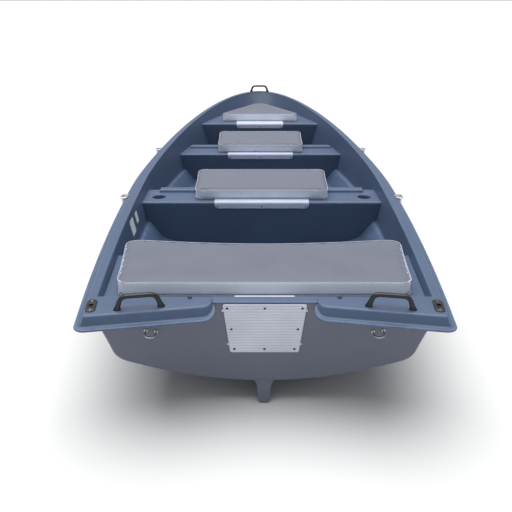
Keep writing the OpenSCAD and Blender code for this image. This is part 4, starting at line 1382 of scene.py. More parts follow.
@dataclass
class Bench:
    """A bench across the cockpit: a profile along the boat, as wide as the cockpit at each of
    its points, with rounded upper edges and, on a thwart, a ridge for the cushion."""

    name: str
    start: float
    end: float
    hollow: float = 0.0
    lean: float = 0.0
    ridge_gap: float = 0.0
    ridge_width: float = 68.0
    ridge_height: float = 20.0
    edge: float = 13.0
    gap: float = 0.8
    rows: int = 110
    cups: tuple[float, ...] = ()
    well_half: float = 0.0

    def profile(self) -> Array:
        """The profile from the floor up the aft face, over the top and down to the floor, as
        station and height, with as many points before the middle as after it."""
        top, middle = LINES.bench_height, (self.start + self.end) / 2
        floor = LINES.cockpit(np.array([self.start, self.end]), top, self.gap)[:, 0, 2]
        aft = corners(np.array([[self.start, floor[0]], [self.start, top], [middle, top]]),
                      [0, self.edge, 0], 8)
        if self.ridge_gap:
            back = self.end - self.ridge_width
            high = top + self.ridge_height
            path = np.array([[middle, top], [back - 1, top], [back + 5, high],
                             [self.end, high], [self.end, floor[1]]])
            fore = corners(path, [0, 5, 7, self.edge, 0], 8)
        else:
            path = np.array([[middle, top], [self.end, top], [self.end, floor[1]]])
            fore = corners(path, [0, self.edge, 0], 8)
        return np.vstack([resampled(aft, self.rows), resampled(fore, self.rows)[1:]])

    def half_widths(self, profile: Array) -> Array:
        """The cockpit's half-breadth at each point of the profile: the section's outline is
        read at the point's height."""
        sections = LINES.cockpit(profile[:, 0], LINES.bench_height, self.gap)
        x, z = sections[..., 0], sections[..., 2]
        return np.array([np.interp(h, zs, xs) for h, zs, xs in zip(profile[:, 1], z, x)])

    def shape(self) -> Shape:
        """The profile times a share across the boat, closed underneath."""
        profile = self.profile()
        wide = self.half_widths(profile)
        wide[[0, -1]] = 0.0
        u = np.linspace(0.0, 1.0, 34)
        limit = 1.0
        if self.ridge_gap:
            top_wide = float(LINES.wall(self.end, LINES.bench_height))
            limit = (top_wide - self.ridge_gap) / top_wide
            u = np.sort(np.concatenate([u, limit + np.array([-9, -6, -4, -2, 0, 2]) / top_wide]))
        u = np.concatenate([-u[:0:-1], u])
        x = wide[:, None] * u[None]
        y = np.broadcast_to(profile[:, :1], x.shape).copy()
        z = np.broadcast_to(profile[:, 1:], x.shape).copy()
        over = np.maximum(0.0, z - LINES.bench_height)
        keep = np.clip((limit - np.abs(u)) * wide.max() / 8.0, 0.0, 1.0)
        z -= over * (1 - keep * keep * (3 - 2 * keep))[None]
        share = (y - self.start) / (self.end - self.start)
        wall = LINES.wall(y, LINES.bench_height)
        y -= share * self.hollow * cosine(np.minimum(90.0, np.abs(x) / wall * 90))
        y += self.lean * (1 - share) * (LINES.top - z) * LINES.lean
        wear_and_groove_shade = np.zeros((len(profile), 1))
        near = np.abs(np.gradient(np.unwrap(np.arctan2(*np.gradient(profile, axis=0).T))))
        wear_and_groove_shade[:, 0] = np.clip(near * 4.0, 0.0, 0.75)
        grid = np.stack([x, y, z], axis=-1)
        closed = zipped(grid)
        closed.wear_and_groove_shade[: grid.shape[0] * grid.shape[1]] = np.broadcast_to(
            wear_and_groove_shade, grid.shape[:2]).reshape(-1)
        return closed

    def cup(self, x: float) -> Shape:
        """Cutter for a cup holder: a round pocket with a turned foot and a flared rim."""
        profile = np.array([[0, -70], [33, -70], [38, -65], [39, -8], [40.5, -3.5], [43.5, -0.6],
                            [46.5, 0.4], [48, 30], [0, 30]], float)
        y = self.start + 110.0
        return lathe(profile, 48).turned(np.eye(3), (x, y, LINES.bench_height))

    def well(self) -> Shape:
        """Cutter for the clamp well behind the transom: a rounded box."""
        half, back, front = self.well_half, LINES.aft_deck - 20, LINES.aft_deck + 68
        outline = corners(np.array([[-half, back], [half, back], [half, front], [-half, front]]),
                          [2, 2, 18, 18], 6, closed=True)
        return plate(resampled(outline, 120, closed=True), LINES.top - 100, LINES.top + 40, 6.0)

    def build(self) -> None:
        """Makes the bench and cuts its pockets."""
        piece = self.shape().piece(f"{self.name}_moulding", [LINER_BLUE], Slot.LINER,
                                   [self.name], 40)
        cutters = [self.cup(x) for x in self.cups]
        if self.well_half:
            cutters.append(self.well())
        if cutters:
            carve(piece, cutters, 40)


@dataclass
class BowSeat:
    """The raised seat in the bow, whose plan closes with the bow wall."""

    edge: float = 13.0
    rows: int = 150

    def shape(self) -> Shape:
        """A profile from the floor up the aft face and forward over the top, as wide as the
        cockpit at each point, and closed underneath."""
        top, start, tip = LINES.bow_seat_height, LINES.bow_seat, LINES.bow_wall_fore - 4
        floor = float(LINES.cockpit(np.array([start]), top, 1.0)[0, 0, 2])
        path = corners(np.array([[start, floor], [start, top], [tip, top]]), [0, self.edge, 0], 8)
        profile = np.vstack([resampled(path[:9], self.rows // 2),
                             resampled(path[8:], self.rows // 2)[1:]])
        foot_share = ((LINES.liner_end - LINES.wide)
                      / (LINES.bow_wall_fore - LINES.wide)) ** LINES.bow_power
        foot_wide = float(LINES.wall(LINES.liner_end, top)) / math.sqrt(1 - foot_share**2)
        sections = LINES.cockpit(np.minimum(profile[:, 0], LINES.liner_end), top, 1.0)
        wide = np.array([np.interp(h, s[:, 2], s[:, 0]) for h, s in zip(profile[:, 1], sections)])
        fore = LINES.half_breadth(profile[:, 0], foot_wide, foot_wide, tip + 3.7) - 1
        wide = np.where(profile[:, 0] > LINES.liner_end, np.maximum(fore, 3.0), wide)
        wide[[0, -1]] = 0.0
        u = np.linspace(-1.0, 1.0, 41)
        x = wide[:, None] * u[None]
        grid = np.stack([x, np.broadcast_to(profile[:, :1], x.shape),
                         np.broadcast_to(profile[:, 1:], x.shape)], axis=-1)
        return zipped(grid)

    def build(self) -> None:
        """Makes the seat."""
        self.shape().piece("bow_seat_moulding", [LINER_BLUE], Slot.LINER, ["bow_seat"], 40)


# ---- Cushions ----


@dataclass
class Cushion:
    """A boxed foam cushion in coated cloth: crowned top and bottom, a paler band round its
    sides, and piping along both seams. It is built flat, blown up gently as cloth, and then
    laid in place."""

    name: str
    outline: Array
    origin: tuple[float, float, float]
    tilt: float = 0.0
    thickness: float = 66.0
    inset: float = -4.0
    voxel: float = 6.0
    cap: float = 9.0
    fill: float = 0.85

    def blank(self) -> bpy.types.Object:
        """The cushion before it is blown up: the outline, moved by the inset, as a block."""
        ring = resampled(self.outline, 420, closed=True)
        ring = ring + self.inset * inward(ring)
        low, high = 0.6, self.thickness - 5.0
        block = (Shape.grid(np.stack([lifted(ring, low), lifted(ring, high)]), wrap_columns=True)
                 + Shape.face(lifted(ring, low)) + Shape.face(lifted(ring, high)))
        obj = bpy.data.objects.new(self.name, block.mesh(self.name))
        bpy.context.scene.collection.objects.link(obj)
        add_modifier(obj, "REMESH", mode="VOXEL", voxel_size=self.voxel * MM, adaptivity=0.0)
        apply_modifiers(obj)
        return obj

    def blown(self, obj: bpy.types.Object) -> tuple[Array, Array]:
        """Args:
            obj: The remeshed block.

        Returns:
            The points at rest and after, in millimetres.
        """
        rest = coordinates(obj.data) / MM
        cloth = add_modifier(obj, "CLOTH")
        cloth.settings.use_pressure = True
        cloth.settings.uniform_pressure_force = 4.0
        cloth.settings.effector_weights.gravity = 0.0
        cloth.settings.quality = 4
        cloth.settings.tension_stiffness = 22.0
        cloth.settings.compression_stiffness = 22.0
        cloth.settings.bending_stiffness = 1.2
        cloth.point_cache.frame_start, cloth.point_cache.frame_end = 1, 20
        scene = bpy.context.scene
        for number in range(1, 21):
            scene.frame_set(number)
        graph = bpy.context.evaluated_depsgraph_get()
        moved = coordinates(obj.evaluated_get(graph).to_mesh()) / MM
        obj.modifiers.remove(cloth)
        scene.frame_set(1)
        shift = moved - rest
        size = np.linalg.norm(shift, axis=1, keepdims=True)
        limit = np.where(rest[:, 2:] > self.thickness - 9.0, self.cap, 0.7 * self.cap)
        shift *= limit * np.tanh(size / limit) / np.maximum(size, 1e-6)
        return rest, rest + shift

    def laid(self, points: Array) -> Array:
        """Points of the flat cushion, tilted about its aft foot and moved to its seat."""
        c, s = cosine(self.tilt), sine(self.tilt)
        x, y, z = points.T
        return np.stack([x, y * c - z * s, y * s + z * c], axis=1) + self.origin

    def piping(self, rest: Array, moved: Array, low: bool) -> Shape:
        """Piping along a seam: the block's outline, moved as the nearest cloth has moved."""
        ring = resampled(self.outline, 260, closed=True)
        ring = ring + self.inset * inward(ring)
        height = 2.0 if low else self.thickness - 5.5
        track = lifted(ring, height)
        near = ((track[:, None] - rest[None]) ** 2).sum(axis=2)
        pick = np.argpartition(near, 5, axis=1)[:, :5]
        weight = 1 / (np.take_along_axis(near, pick, axis=1) + 4.0)
        shift = ((moved - rest)[pick] * weight[..., None]).sum(axis=1) / weight.sum(axis=1)[:, None]
        for _ in range(24):
            shift = (np.roll(shift, 1, axis=0) + 2 * shift + np.roll(shift, -1, axis=0)) / 4
        out = -inward(ring) * 1.8
        track = track + shift + lifted(out, 0.0 if low else 0.5)
        track[:, 2] = np.maximum(track[:, 2], 2.4)
        return tube(self.laid(track), 1.9, 10, closed=True)

    def build(self) -> None:
        obj = self.blank()
        rest, moved = self.blown(obj)
        moved[:, 2] = np.maximum(moved[:, 2], 0.0)
        normals = np.zeros(len(obj.data.polygons) * 3)
        obj.data.polygons.foreach_get("normal", normals)
        side = (np.abs(normals.reshape(-1, 3)[:, 2]) < 0.55).astype(np.int32)
        obj.data.vertices.foreach_set("co", (self.laid(moved) * MM).astype(np.float32).ravel())
        for finish in (CLOTH_GREY, BAND_PALE):
            obj.data.materials.append(Palette.of(finish))
        obj.data.polygons.foreach_set("material_index", side)
        obj.data.shade_smooth()
        obj.data.update()
        add_modifier(obj, "SUBSURF", levels=1, render_levels=1)
        enrol(obj, [self.name_of_node()])
        cord = gathered([self.piping(rest, moved, low) for low in (False, True)])
        cord.piece(f"{self.name}_piping", [PIPING_PALE], Slot.BAND, (), 60)

    def name_of_node(self) -> str:
        """The CAD node that the cushion stands for."""
        return self.name.removesuffix("_pad")


def coordinates(mesh: bpy.types.Mesh) -> Array:
    """A mesh's points as an array."""
    flat = np.zeros(len(mesh.vertices) * 3)
    mesh.vertices.foreach_get("co", flat)
    return flat.reshape(-1, 3)


@dataclass
class Flap:
    """A cushion's flap of coated cloth: it lies on the seat, turns over the seat's edge and
    is held to its aft face by three screws."""

    name: str
    seat_y: float
    seat_z: float
    run: float
    half: float
    fall: float = 41.0
    corner: float = 24.0
    thickness: float = 1.6
    screw_inset: float = 22.0
    lift: float = 1.4

    def path(self) -> Array:
        """Station and height along the flap, from under the cushion to its lower edge."""
        y, z = self.seat_y - self.lift, self.seat_z + self.lift
        track = np.array([[self.seat_y + self.run, z], [y, z], [y, z - self.fall]])
        return resampled(corners(track, [0, 14.5, 0], 10), 46)

    def shape(self) -> Shape:
        """The path times a share across; the lower corners are quarter circles. A slow wave
        lifts the cloth between its screws by less than a millimetre."""
        path = self.path()
        left = np.concatenate([[0.0], np.cumsum(np.linalg.norm(np.diff(path, axis=0), axis=1))])
        to_end = np.minimum(left[-1] - left, self.corner)
        taper = self.corner - np.sqrt(np.maximum(0.0, self.corner**2
                                                 - (self.corner - to_end) ** 2))
        half = self.half - taper - 0.05 * np.maximum(0.0, left - self.run)
        u = np.linspace(-1.0, 1.0, 61)
        x = half[:, None] * u[None]
        wave = 0.5 * (1 + np.cos(2 * np.pi * u * 2.0 + 0.4))[None] * (left / left[-1])[:, None] ** 3
        y = path[:, :1] - 1.3 * wave * (path[:, 1:] < self.seat_z - 8)
        z = np.broadcast_to(path[:, 1:], x.shape)
        return Shape.grid(np.stack([x, y + 0 * x, z], axis=-1))

    def hem(self) -> Shape:
        """A row of stitches, drawn as a raised thread line near the edge."""
        path = self.path()
        track = np.array([[-self.half + 9, path[8, 1]], [-self.half + 9, path[-1, 1] + 22],
                          [-self.half + 24, path[-1, 1] + 6], [self.half - 24, path[-1, 1] + 6],
                          [self.half - 9, path[-1, 1] + 22], [self.half - 9, path[8, 1]]])
        line = resampled(track[1:-1], 200)
        points = np.column_stack([line[:, 0], np.full(200, self.seat_y - self.lift - 1.6),
                                  line[:, 1]])
        return tube(points, 0.45, 6)

    def build(self) -> None:
        obj = self.shape().piece(f"{self.name}_cloth", [FLAP_PALE], Slot.BAND, [self.name], 60)
        add_modifier(obj, "SOLIDIFY", thickness=self.thickness * MM, offset=0.0)
        aft = np.array([[1.0, 0.0, 0.0], [0.0, 0.0, 1.0], [0.0, -1.0, 0.0]])
        low = self.seat_z - self.fall + self.screw_inset * 0.62
        face = self.seat_y - self.lift - 0.9
        heads = gathered(
            screw_head(4.6, 2.0).turned(aft, (x, face, low))
            for x in (-self.half + self.screw_inset, 0.0, self.half - self.screw_inset)
        )
        screws = heads.piece(f"{self.name}_screws", [DARK_SCREW], Slot.BLACK, (), 40)
        hem = self.hem().piece(f"{self.name}_hem", [PIPING_PALE], Slot.BAND, (), 60)


# ---- Fittings ----


@dataclass
class MotorPads:
    """The ribbed outer pad on the transom, with its screws and side tabs, and the plain
    inner pad."""

    top_width: float = 335.0
    bottom_width: float = 285.0
    height: float = 245.0
    wall: float = 8.0
    top_gap: float = 8.0
    ribs: int = 17
    groove: float = 1.1
    screw_edge: float = 18.0

    def pad(self, top: float, bottom: float, height: float, ribs: int) -> Shape:
        """Rings across the pad from its top to its foot, each a flat back and a face with
        soft edges; the face dips in a narrow groove between ribs.

        Args:
            top: Width at the top.
            bottom: Width at the foot.
            height: Height down the transom.
            ribs: Number of ribs, or 0 for a plain face.

        Returns:
            The closed pad on the transom's axes.
        """
        rows = 8 * max(ribs, 6) + 1
        v = np.concatenate([[0.0, 0.002, 0.006, 0.012], np.linspace(0.02, 0.98, rows),
                            [0.988, 0.994, 0.998, 1.0]])
        down = v * height
        half = (top + (bottom - top) * v) / 2
        near = np.minimum(down, height - down)
        corner = 8.0
        half = half - (corner - np.sqrt(np.maximum(0.0, corner**2 - np.maximum(
            0.0, corner - near) ** 2)))
        edge = np.clip(near / 2.0, 0.0, 1.0)
        u = np.concatenate([[-1.0, -0.997, -0.99, -0.98], np.linspace(-0.955, 0.955, 27),
                            [0.98, 0.99, 0.997, 1.0]])
        side = np.clip((1 - np.abs(u)) * (top / 2) / 2.2, 0.0, 1.0)
        round_x, round_y = np.sqrt(1 - (1 - side) ** 2), np.sqrt(1 - (1 - edge) ** 2)
        front = self.wall - 2.0 * (1 - round_x[None] * round_y[:, None])
        dip = np.zeros_like(v)
        if ribs:
            phase = (v * ribs) % 1.0
            dip = np.exp(-(((phase - 0.5) / 0.13) ** 2))
            dip *= (v > 0.4 / ribs) & (v < 1 - 0.4 / ribs)
        cut = dip[:, None] * np.clip((side[None] - 0.4) * 3, 0, 1)
        front = front - self.groove * cut
        x = half[:, None] * u[None]
        y = np.broadcast_to(-self.top_gap - down[:, None], x.shape)
        face = np.stack([x, y, front], axis=-1)
        back = np.stack([x[:, ::-1], y, np.full(x.shape, 0.3)], axis=-1)
        # The groove mask is stored on the points; the pad's material paints shade into these
        # grooves.
        wear_and_groove_shade = np.concatenate([cut, np.zeros_like(cut)], axis=1)
        grid = np.concatenate([face, back], axis=1)
        shape = Shape.grid(grid, wrap_columns=True, wear_and_groove_shade=wear_and_groove_shade)
        return shape + Shape.face(grid[0]) + Shape.face(grid[-1])

    def screws(self) -> Shape:
        """Eight countersunk heads: three along the top, two at mid height, three below."""
        low = self.height - self.screw_edge
        top_x, low_x = self.top_width / 2 - self.screw_edge, self.bottom_width / 2 - self.screw_edge
        mid_x = (top_x + low_x) / 2 - 2
        places = [(-top_x, self.screw_edge), (0, self.screw_edge), (top_x, self.screw_edge),
                  (-mid_x, self.height / 2), (mid_x, self.height / 2),
                  (-low_x, low), (0, low), (low_x, low)]
        return gathered(
            screw_head(5.2, 1.3).turned(np.eye(3), (x, -self.top_gap - y, self.wall))
            for x, y in places
        )

    def tabs(self) -> Shape:
        """Four small lugs beside the pad, two near its top and two near its foot."""
        made = []
        for down in (0.13, 0.83):
            half = (self.top_width + (self.bottom_width - self.top_width) * down) / 2
            for sign in (-1, 1):
                outline = corners(np.array([[-3, -6], [8, -5], [8, 5], [-3, 6]]) * [sign, 1.0],
                                  [1, 3, 3, 1], 4, closed=True)
                lug = plate(resampled(outline, 32, closed=True), 0.2, 4.5, 1.2)
                made.append(lug.turned(np.eye(3), (sign * half, -self.top_gap - down
                                                   * self.height, 0)))
        return gathered(made)

    def build(self) -> None:
        """Makes both pads and the screws."""
        axes, origin = LINES.transom_axes(), np.array([0.0, LINES.transom, LINES.top])
        outer = self.pad(self.top_width, self.bottom_width, self.height, self.ribs)
        (outer + self.tabs()).turned(axes, origin).piece(
            "motor_pad_ribbed", [PAD_GREY], Slot.PAD, ["motor_pad_outer"], 60)
        self.screws().turned(axes, origin).piece("motor_pad_screws", [DARK_SCREW], Slot.BLACK,
                                                 (), 40)
        inner = self.pad(250.0, 230.0, 88.0, 0)
        shift = origin - axes[2] * (LINES.transom_wall + self.wall + 0.6)
        inner.turned(axes, shift).piece("motor_pad_back", [PAD_GREY], Slot.PAD,
                                        ["motor_pad_inner"], 60)


@dataclass
class Handle:
    """A strap handle of black nylon: two splayed feet, two leaning legs and a bar."""

    name: str
    turn: float
    length: float = 200.0
    height: float = 62.0
    grip: float = 17.0
    depth: float = 21.0

    def shape(self) -> Shape:
        """A rounded section carried along the handle's centreline. Near the feet it grows
        along the deck and across it; the section is a superellipse of the power 2.8."""
        half, mid = self.length / 2, self.height - self.grip / 2
        track = np.array([[-half + 15.5, 0.0], [-half + 33.0, mid], [half - 33.0, mid],
                          [half - 15.5, 0.0]])
        line = resampled(corners(track, [0, 26, 26, 0], 14), 90)
        along = np.gradient(line, axis=0)
        along /= np.linalg.norm(along, axis=1, keepdims=True)
        square = np.stack([-along[:, 1], along[:, 0]], axis=1)
        level = np.clip(1 - line[:, 1] / 17.0, 0.0, 1.0) ** 2
        square = square * (1 - level[:, None]) + np.array([1.0, 0.0]) * level[:, None] * np.sign(
            square[:, :1])
        thick = self.grip / 2 + 2.2 * np.clip(1 - line[:, 1] / mid, 0, 1) + 4.5 * level
        wide = self.depth / 2 + 2.5 * level
        angle = np.linspace(0.0, 2 * np.pi, 28, endpoint=False)
        c, s = np.cos(angle), np.sin(angle)
        round_c = np.sign(c) * np.abs(c) ** (2 / 2.8)
        round_s = np.sign(s) * np.abs(s) ** (2 / 2.8)
        x = line[:, :1] + square[:, :1] * thick[:, None] * round_c
        z = line[:, 1:] + square[:, 1:] * thick[:, None] * round_c
        z = np.maximum(z, 0.0)
        y = wide[:, None] * round_s[None] + 0 * x
        grid = np.stack([x, y, z], axis=-1)
        shape = Shape.grid(grid, wrap_columns=True)
        return shape + Shape.face(grid[0]) + Shape.face(grid[-1])

    def build(self) -> None:
        """Makes the handle where its CAD node stands."""
        low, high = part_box(self.name)
        centre = (np.array(low) + np.array(high)) / 2 / MM
        c, s = cosine(self.turn), sine(self.turn)
        axes = np.array([[c, s, 0.0], [-s, c, 0.0], [0.0, 0.0, 1.0]])
        origin = (centre[0], centre[1], low[2] / MM)
        self.shape().turned(axes, origin).piece(f"{self.name}_strap", [BLACK], Slot.BLACK,
                                                [self.name], 40)


@dataclass
class RowlockSockets:
    """Four stainless rowlock sockets on the lip: a plate with rounded corners, a bored boss
    under it with a black bush, and two screws."""

    stations: dict[str, float] = field(default_factory=lambda: {"aft": 1520.0, "fore": 2540.0})
    overhang: float = 28.0
    plate_wall: float = 6.0
    plate_length: float = 70.0
    bore: float = 6.5
    boss: float = 12.0
    bore_length: float = 42.0

    def shape(self, station: float) -> tuple[Shape, Shape]:
        """The socket, for starboard: its steel and its bush."""
        y = LINES.stern + station
        lip = float(LINES.half_breadth(y, LINES.half_beam, LINES.half_stern, LINES.bow))
        z = float(LINES.sheer(y + self.plate_length / 2)) - 41 + 0.3
        bore_x, reach = lip + self.overhang - 13, self.overhang + 17.0
        left, right = lip + self.overhang - reach - bore_x, 13.0
        half = self.plate_length / 2
        outline = corners(np.array([[left, -half], [right, -half], [right, half], [left, half]]),
                          [5, 13, 13, 5], 8, closed=True)
        outer = resampled(outline, 72, closed=True)
        angle = np.arctan2(outer[:, 1], outer[:, 0])
        inner = (self.bore + 1.6) * np.stack([np.cos(angle), np.sin(angle)], axis=1)
        top = washer(outer, inner, 0.0, self.plate_wall, 1.6)
        ring = circle(self.boss, 40)
        barrel = washer(ring, ring * ((self.bore + 1.6) / self.boss),
                        self.plate_wall - self.bore_length, 0.5, 1.2)
        collar = washer(ring * 0.92, ring * ((self.bore + 1.6) / self.boss),
                        self.plate_wall - 0.5, self.plate_wall + 2.4, 1.0)
        screws = [screw_head(4.4, 1.6).turned(np.eye(3), (left + 12, sign * 23,
                                                          self.plate_wall))
                  for sign in (-1, 1)]
        bush = washer(ring * ((self.bore + 1.55) / self.boss), ring * (self.bore / self.boss),
                      self.plate_wall - self.bore_length + 0.5, self.plate_wall + 1.2, 0.4)
        place = (bore_x, y, z)
        steel = gathered([top, barrel, collar, *screws]).turned(np.eye(3), place)
        return steel, bush.turned(np.eye(3), place)

    def build(self) -> None:
        """Makes the four sockets."""
        for where, station in self.stations.items():
            steel, bush = self.shape(station)
            for side in Side:
                name = f"rowlock_socket_{where}_{side.word}"
                steel.on(side).piece(f"{name}_plate", [STEEL], Slot.STEEL, [name], 40)
                bush.on(side).piece(f"{name}_bush", [BLACK], Slot.BLACK, (), 40)


@dataclass
class RodSockets:
    """Black rod sockets in the stern corners: a domed oval flange, a blind tube and two
    bright screws."""

    length: float = 100.0
    width: float = 40.0
    wall: float = 6.0
    bore: float = 9.0
    depth: float = 60.0
    turn: float = -7.0

    @staticmethod
    def centre(side: Side) -> tuple[float, float, float]:
        """Middle of the flange's foot."""
        y = LINES.stern + 118.0
        x = float(LINES.side_rail(np.array([y]), 62.0)[0, 0])
        return (side.value * x, y, float(LINES.sheer(y + 50.0)) + 0.3)

    def shape(self) -> tuple[Shape, Shape]:
        """The socket, for starboard, about its centre: its plastic and its screws."""
        straight = self.length / 2 - self.width / 2
        arc = np.linspace(0.0, np.pi, 20)
        radius = self.width / 2
        top = np.stack([radius * np.cos(arc), straight + radius * np.sin(arc)], axis=1)
        outline = np.vstack([top, -top])
        outer = resampled(outline, 96, closed=True)
        angle = np.arctan2(outer[:, 1], outer[:, 0])
        inner = self.bore * np.stack([np.cos(angle), np.sin(angle)], axis=1)
        flange = washer(outer, inner, 0.0, self.wall - 2.5, 2.2, 2.4)
        ring = circle(self.bore + 3.2, 40)
        low = self.wall - self.depth
        barrel = washer(ring, ring * (self.bore / (self.bore + 3.2)), low, 1.0, 0.6)
        floor = plate(circle(self.bore + 3.2, 40), low - 4, low + 0.5, 1.0)
        rim = washer(ring * 1.05, ring * (self.bore / (self.bore + 3.2)), self.wall - 2.0,
                     self.wall - 0.1, 0.9)
        screws = gathered(
            screw_head(5.4, 1.9).turned(np.eye(3), (0, sign * (straight + 4), self.wall - 2.6))
            for sign in (-1, 1)
        )
        return gathered([flange, barrel, floor, rim]), screws

    def build(self) -> None:
        """Makes both sockets."""
        c, s = cosine(self.turn), sine(self.turn)
        axes = np.array([[c, s, 0.0], [-s, c, 0.0], [0.0, 0.0, 1.0]])
        body, screws = self.shape()
        for side in Side:
            name, place = f"rod_socket_{side.word}", self.centre(Side.STARBOARD)
            body.turned(axes, place).on(side).piece(f"{name}_flange", [BLACK], Slot.BLACK,
                                                    [name], 40)
            screws.turned(axes, place).on(side).piece(f"{name}_screws", [STEEL], Slot.STEEL,
                                                      (), 40)


@dataclass
class Eyes:
    """Towing eyes of round stainless bar, each with two washers at its feet."""

    bar: float = 4.0
    half_width: float = 21.0
    leg: float = 20.0

    def shape(self) -> Shape:
        """A bar along two legs and a half circle, standing along Z."""
        arc = np.linspace(0.0, np.pi, 26)
        bend = np.stack([self.half_width * np.cos(arc), 0 * arc,
                         self.leg + self.half_width * np.sin(arc)], axis=1)
        legs = np.linspace(0.0, self.leg, 6)[:-1]
        right = np.stack([np.full(5, self.half_width), 0 * legs, legs], axis=1)
        path = np.vstack([right, bend, right[::-1] * [-1.0, 1.0, 1.0]])
        feet = [
            lathe(np.array([[0, 0], [7.9, 0], [7.9, 1.6], [7.0, 2.6], [4.2, 3.0], [0, 3.0]]), 24)
            .turned(np.eye(3), (sign * self.half_width, 0, 0)) for sign in (-1, 1)
        ]
        return gathered([tube(path, self.bar, 16), *feet])

    def build(self) -> None:
        """Makes the two transom eyes and the bow eye."""
        base = self.shape()
        c, s = cosine(8.0), sine(8.0)
        local = np.array([[c, s, 0.0], [-s, c, 0.0], [0.0, 0.0, 1.0]])
        place = np.array([464.0, -146.0, 0.3])
        axes, origin = LINES.transom_axes(), (0.0, LINES.transom, LINES.top)
        starboard = base.turned(local, place).turned(axes, origin)
        for side in Side:
            name = f"transom_eye_{side.word}"
            starboard.on(side).piece(f"{name}_bar", [STEEL], Slot.STEEL, [name], 40)
        low, high = (np.array(corner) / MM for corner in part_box("bow_eye"))
        lean = math.radians(28.67)
        out = np.array([0.0, math.cos(lean), -math.sin(lean)])
        along = np.array([0.0, -math.sin(lean), -math.cos(lean)])
        middle = (low + high) / 2
        corner_axes = np.stack([along, np.cross(out, along), out])
        made = base.turned(corner_axes, (0.0, 0.0, 0.0))
        span = (made.points.max(axis=0) + made.points.min(axis=0)) / 2
        base.turned(corner_axes, middle - span).piece("bow_eye_bar", [STEEL], Slot.STEEL,
                                                      ["bow_eye"], 40)


@dataclass
class Trim:
    """Small things on the mouldings: blank film labels on the port wall, and the black
    fastenings under the stern cushion's aft edge."""

    label_places: tuple[tuple[float, float, float, float], ...] = (
        (-1065.0, 285.0, 95.0, 84.0), (-925.0, 290.0, 60.0, 62.0),
    )

    def label(self, y: float, z: float, wide: float, high: float) -> Shape:
        """A rounded film that follows the port wall: a grid of shares along and up it, moved
        half a millimetre off the surface."""
        u, v = np.meshgrid(np.linspace(-1, 1, 17), np.linspace(-1, 1, 9), indexing="ij")
        corner = 5.0
        pull = np.maximum(0.0, np.abs(v) * high / 2 - (high / 2 - corner))
        narrow = corner - np.sqrt(np.maximum(0.0, corner**2 - pull**2))
        ys = y + u * (wide / 2 - narrow)
        zs = z + v * high / 2
        x = -(LINES.wall(ys, zs) - 0.6)
        face = np.stack([x, ys, zs], axis=-1)
        back = np.stack([x - 0.4, ys, zs], axis=-1)
        return shell(face, back)

    def fastening(self, x: float) -> Shape:
        """A small black press stud on the aft deck's skirt, below the cushion."""
        stud = lathe(np.array([[0, 0], [9, 0], [9, 2.5], [7, 5], [3, 6], [0, 6.2]]), 24)
        return stud.turned(np.eye(3), (x, LINES.aft_deck - 14.0, float(LINES.sheer(LINES.aft_deck))))

    def build(self) -> None:
        """Makes the labels and the fastenings."""
        labels = gathered(self.label(*place) for place in self.label_places)
        labels.piece("blank_labels", [FILM], Slot.PAD, (), 60)
        studs = gathered(self.fastening(x) for x in (-300.0, 300.0))
        studs.piece("cushion_studs", [BLACK], Slot.BLACK, (), 40)


# ---- Studio ----


@dataclass
class Studio:
    """A wide pale floor, soft light from above, and the camera."""

    floor: float = 0.0
    camera_place: tuple[float, float, float] = (-0.035, -4.05, 1.435)
    pitch: float = 24.0
    lens: float = 40.43
    floor_radius: float = 2000.0
    sky_strength: float = 0.46
    sun_strength: float = 4.4
    sun_spread: float = 70.0

    def sun(self) -> None:
        """A broad lamp overhead, a little to port and towards the bow, with soft shadows."""
        data = bpy.data.lights.new("overhead", "SUN")
        data.energy, data.angle = self.sun_strength, math.radians(self.sun_spread)
        data.color = (1.0, 0.995, 0.985)
        obj = bpy.data.objects.new("overhead", data)
        obj.rotation_euler = (math.radians(-10.0), math.radians(-5.0), 0.0)
        bpy.context.scene.collection.objects.link(obj)

    def build(self) -> None:
        """Makes the floor, the lights and the camera."""
        ring = circle(self.floor_radius, 64) / MM
        ground = Shape.face(lifted(ring, self.floor / MM)).mesh("studio_floor")
        obj = bpy.data.objects.new("studio_floor", ground)
        ground.materials.append(StudioFloor().material())
        bpy.context.scene.collection.objects.link(obj)
        if ground.polygons[0].normal.z < 0:
            ground.flip_normals()

        world = bpy.data.worlds.new("studio_air")
        bpy.context.scene.world = world
        world.use_nodes = True
        air = world.node_tree.nodes["Background"]
        air.inputs[0].default_value = (0.93, 0.965, 1.0, 1.0)
        air.inputs[1].default_value = self.sky_strength
        self.sun()

        bpy.context.scene.view_settings.view_transform = "Standard"
        data = bpy.data.cameras.new("camera")
        data.lens, data.sensor_width = self.lens, 36.0
        data.clip_start, data.clip_end = 0.05, 5000.0
        camera = bpy.data.objects.new("camera", data)
        camera.location = self.camera_place
        camera.rotation_euler = (math.radians(90 - self.pitch), 0.0, 0.0)
        bpy.context.scene.collection.objects.link(camera)
        bpy.context.scene.camera = camera


def stern_outline() -> Array:
    """The stern cushion's outline: rounded corners, and a hollow fore edge whose depth
    follows a cosine across it."""
    aft, fore, deep, hollow = 612.0, 664.0, 462.0, 45.0
    s = np.linspace(1.0, -1.0, 41)[1:-1]
    edge = np.stack([s * (fore - 80), deep - hollow * cosine(90 * s)], axis=1)
    ring = corners(np.array([[-fore, deep], [-aft, 0.0], [aft, 0.0], [fore, deep]]),
                   [64, 40, 40, 64], 8, closed=True)
    return np.vstack([ring, edge])


def thwart_outline(half: float, deep: float = 300.0) -> Array:
    """A thwart cushion's outline, with larger corners at the front."""
    return corners(np.array([[-half, 0.0], [half, 0.0], [half, deep], [-half, deep]]),
                   [30, 30, 45, 45], 8, closed=True)


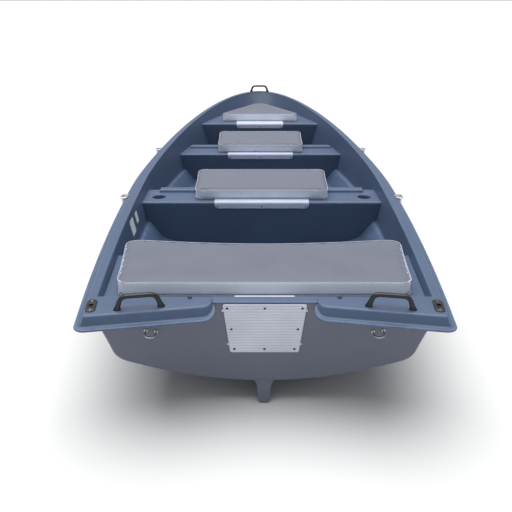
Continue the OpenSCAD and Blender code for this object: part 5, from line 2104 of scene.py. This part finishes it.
def bow_outline() -> Array:
    """The bow cushion's outline: short shoulders, then straight sides to a blunt tip."""
    return corners(np.array([[-342, 0], [342, 0], [332, 60], [40, 590], [-40, 590],
                             [-332, 60]], float), [18, 18, 34, 30, 30, 34], 8, closed=True)


def cushions() -> list[Cushion]:
    """The four cushions, each on its seat."""
    seat = LINES.bench_height
    tilt = math.degrees(math.atan(20.3 / (252 - 68 - 62)))
    return [
        Cushion("stern_cushion_pad", stern_outline(), (0.0, LINES.stern + 273, seat + 0.4),
                voxel=7.5, cap=10.0),
        Cushion("aft_cushion_pad", thwart_outline(410.0), (0.0, LINES.stern + 1490 + 62,
                                                           seat + 0.9), tilt),
        Cushion("fore_cushion_pad", thwart_outline(340.0), (0.0, LINES.stern + 2690 + 62,
                                                            seat + 0.9), tilt),
        Cushion("bow_cushion_pad", bow_outline(), (0.0, LINES.bow_seat + 130,
                                                   LINES.bow_seat_height + 1.4)),
    ]


def benches() -> list[Bench]:
    """The stern bench and the two thwarts."""
    cup_y = LINES.stern + 1490 + 110
    cup_x = float(LINES.wall(cup_y, LINES.bench_height)) - 88
    return [
        Bench("stern_bench", LINES.aft_deck + 8, LINES.stern + 700, hollow=45.0, lean=1.0,
              well_half=190.0),
        Bench("aft_thwart", LINES.stern + 1490, LINES.stern + 1742, ridge_gap=76.0,
              cups=(-cup_x, cup_x)),
        Bench("fore_thwart", LINES.stern + 2690, LINES.stern + 2942, ridge_gap=20.0),
    ]


def flaps() -> list[Flap]:
    """The three cushion flaps."""
    seat = LINES.bench_height
    return [
        Flap("aft_cushion_flap", LINES.stern + 1490, seat, 58.0, 290.0),
        Flap("fore_cushion_flap", LINES.stern + 2690, seat, 58.0, 262.0),
        Flap("bow_cushion_flap", LINES.bow_seat, LINES.bow_seat_height, 126.0, 211.0),
    ]


def main() -> None:
    """Builds the studio and then each sub-assembly."""
    logging.basicConfig(level=logging.INFO, format="%(name)s %(message)s")
    lowest = min(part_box(node)[0][2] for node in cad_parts)
    Studio(floor=lowest).build()
    parts: list[Any] = [OuterHull(), Gunwale(), Cockpit(), *benches(), BowSeat(), *cushions(),
                        *flaps(), MotorPads(), Handle("stern_handle_starboard", -9.5),
                        Handle("stern_handle_port", 9.5), Handle("bow_handle", 0.0),
                        RowlockSockets(), RodSockets(), Eyes(), Trim()]
    for part in parts:
        LOG.info("building %s", getattr(part, "name", type(part).__name__))
        part.build()
    bpy.context.view_layer.update()


if __name__ == "__main__":
    main()
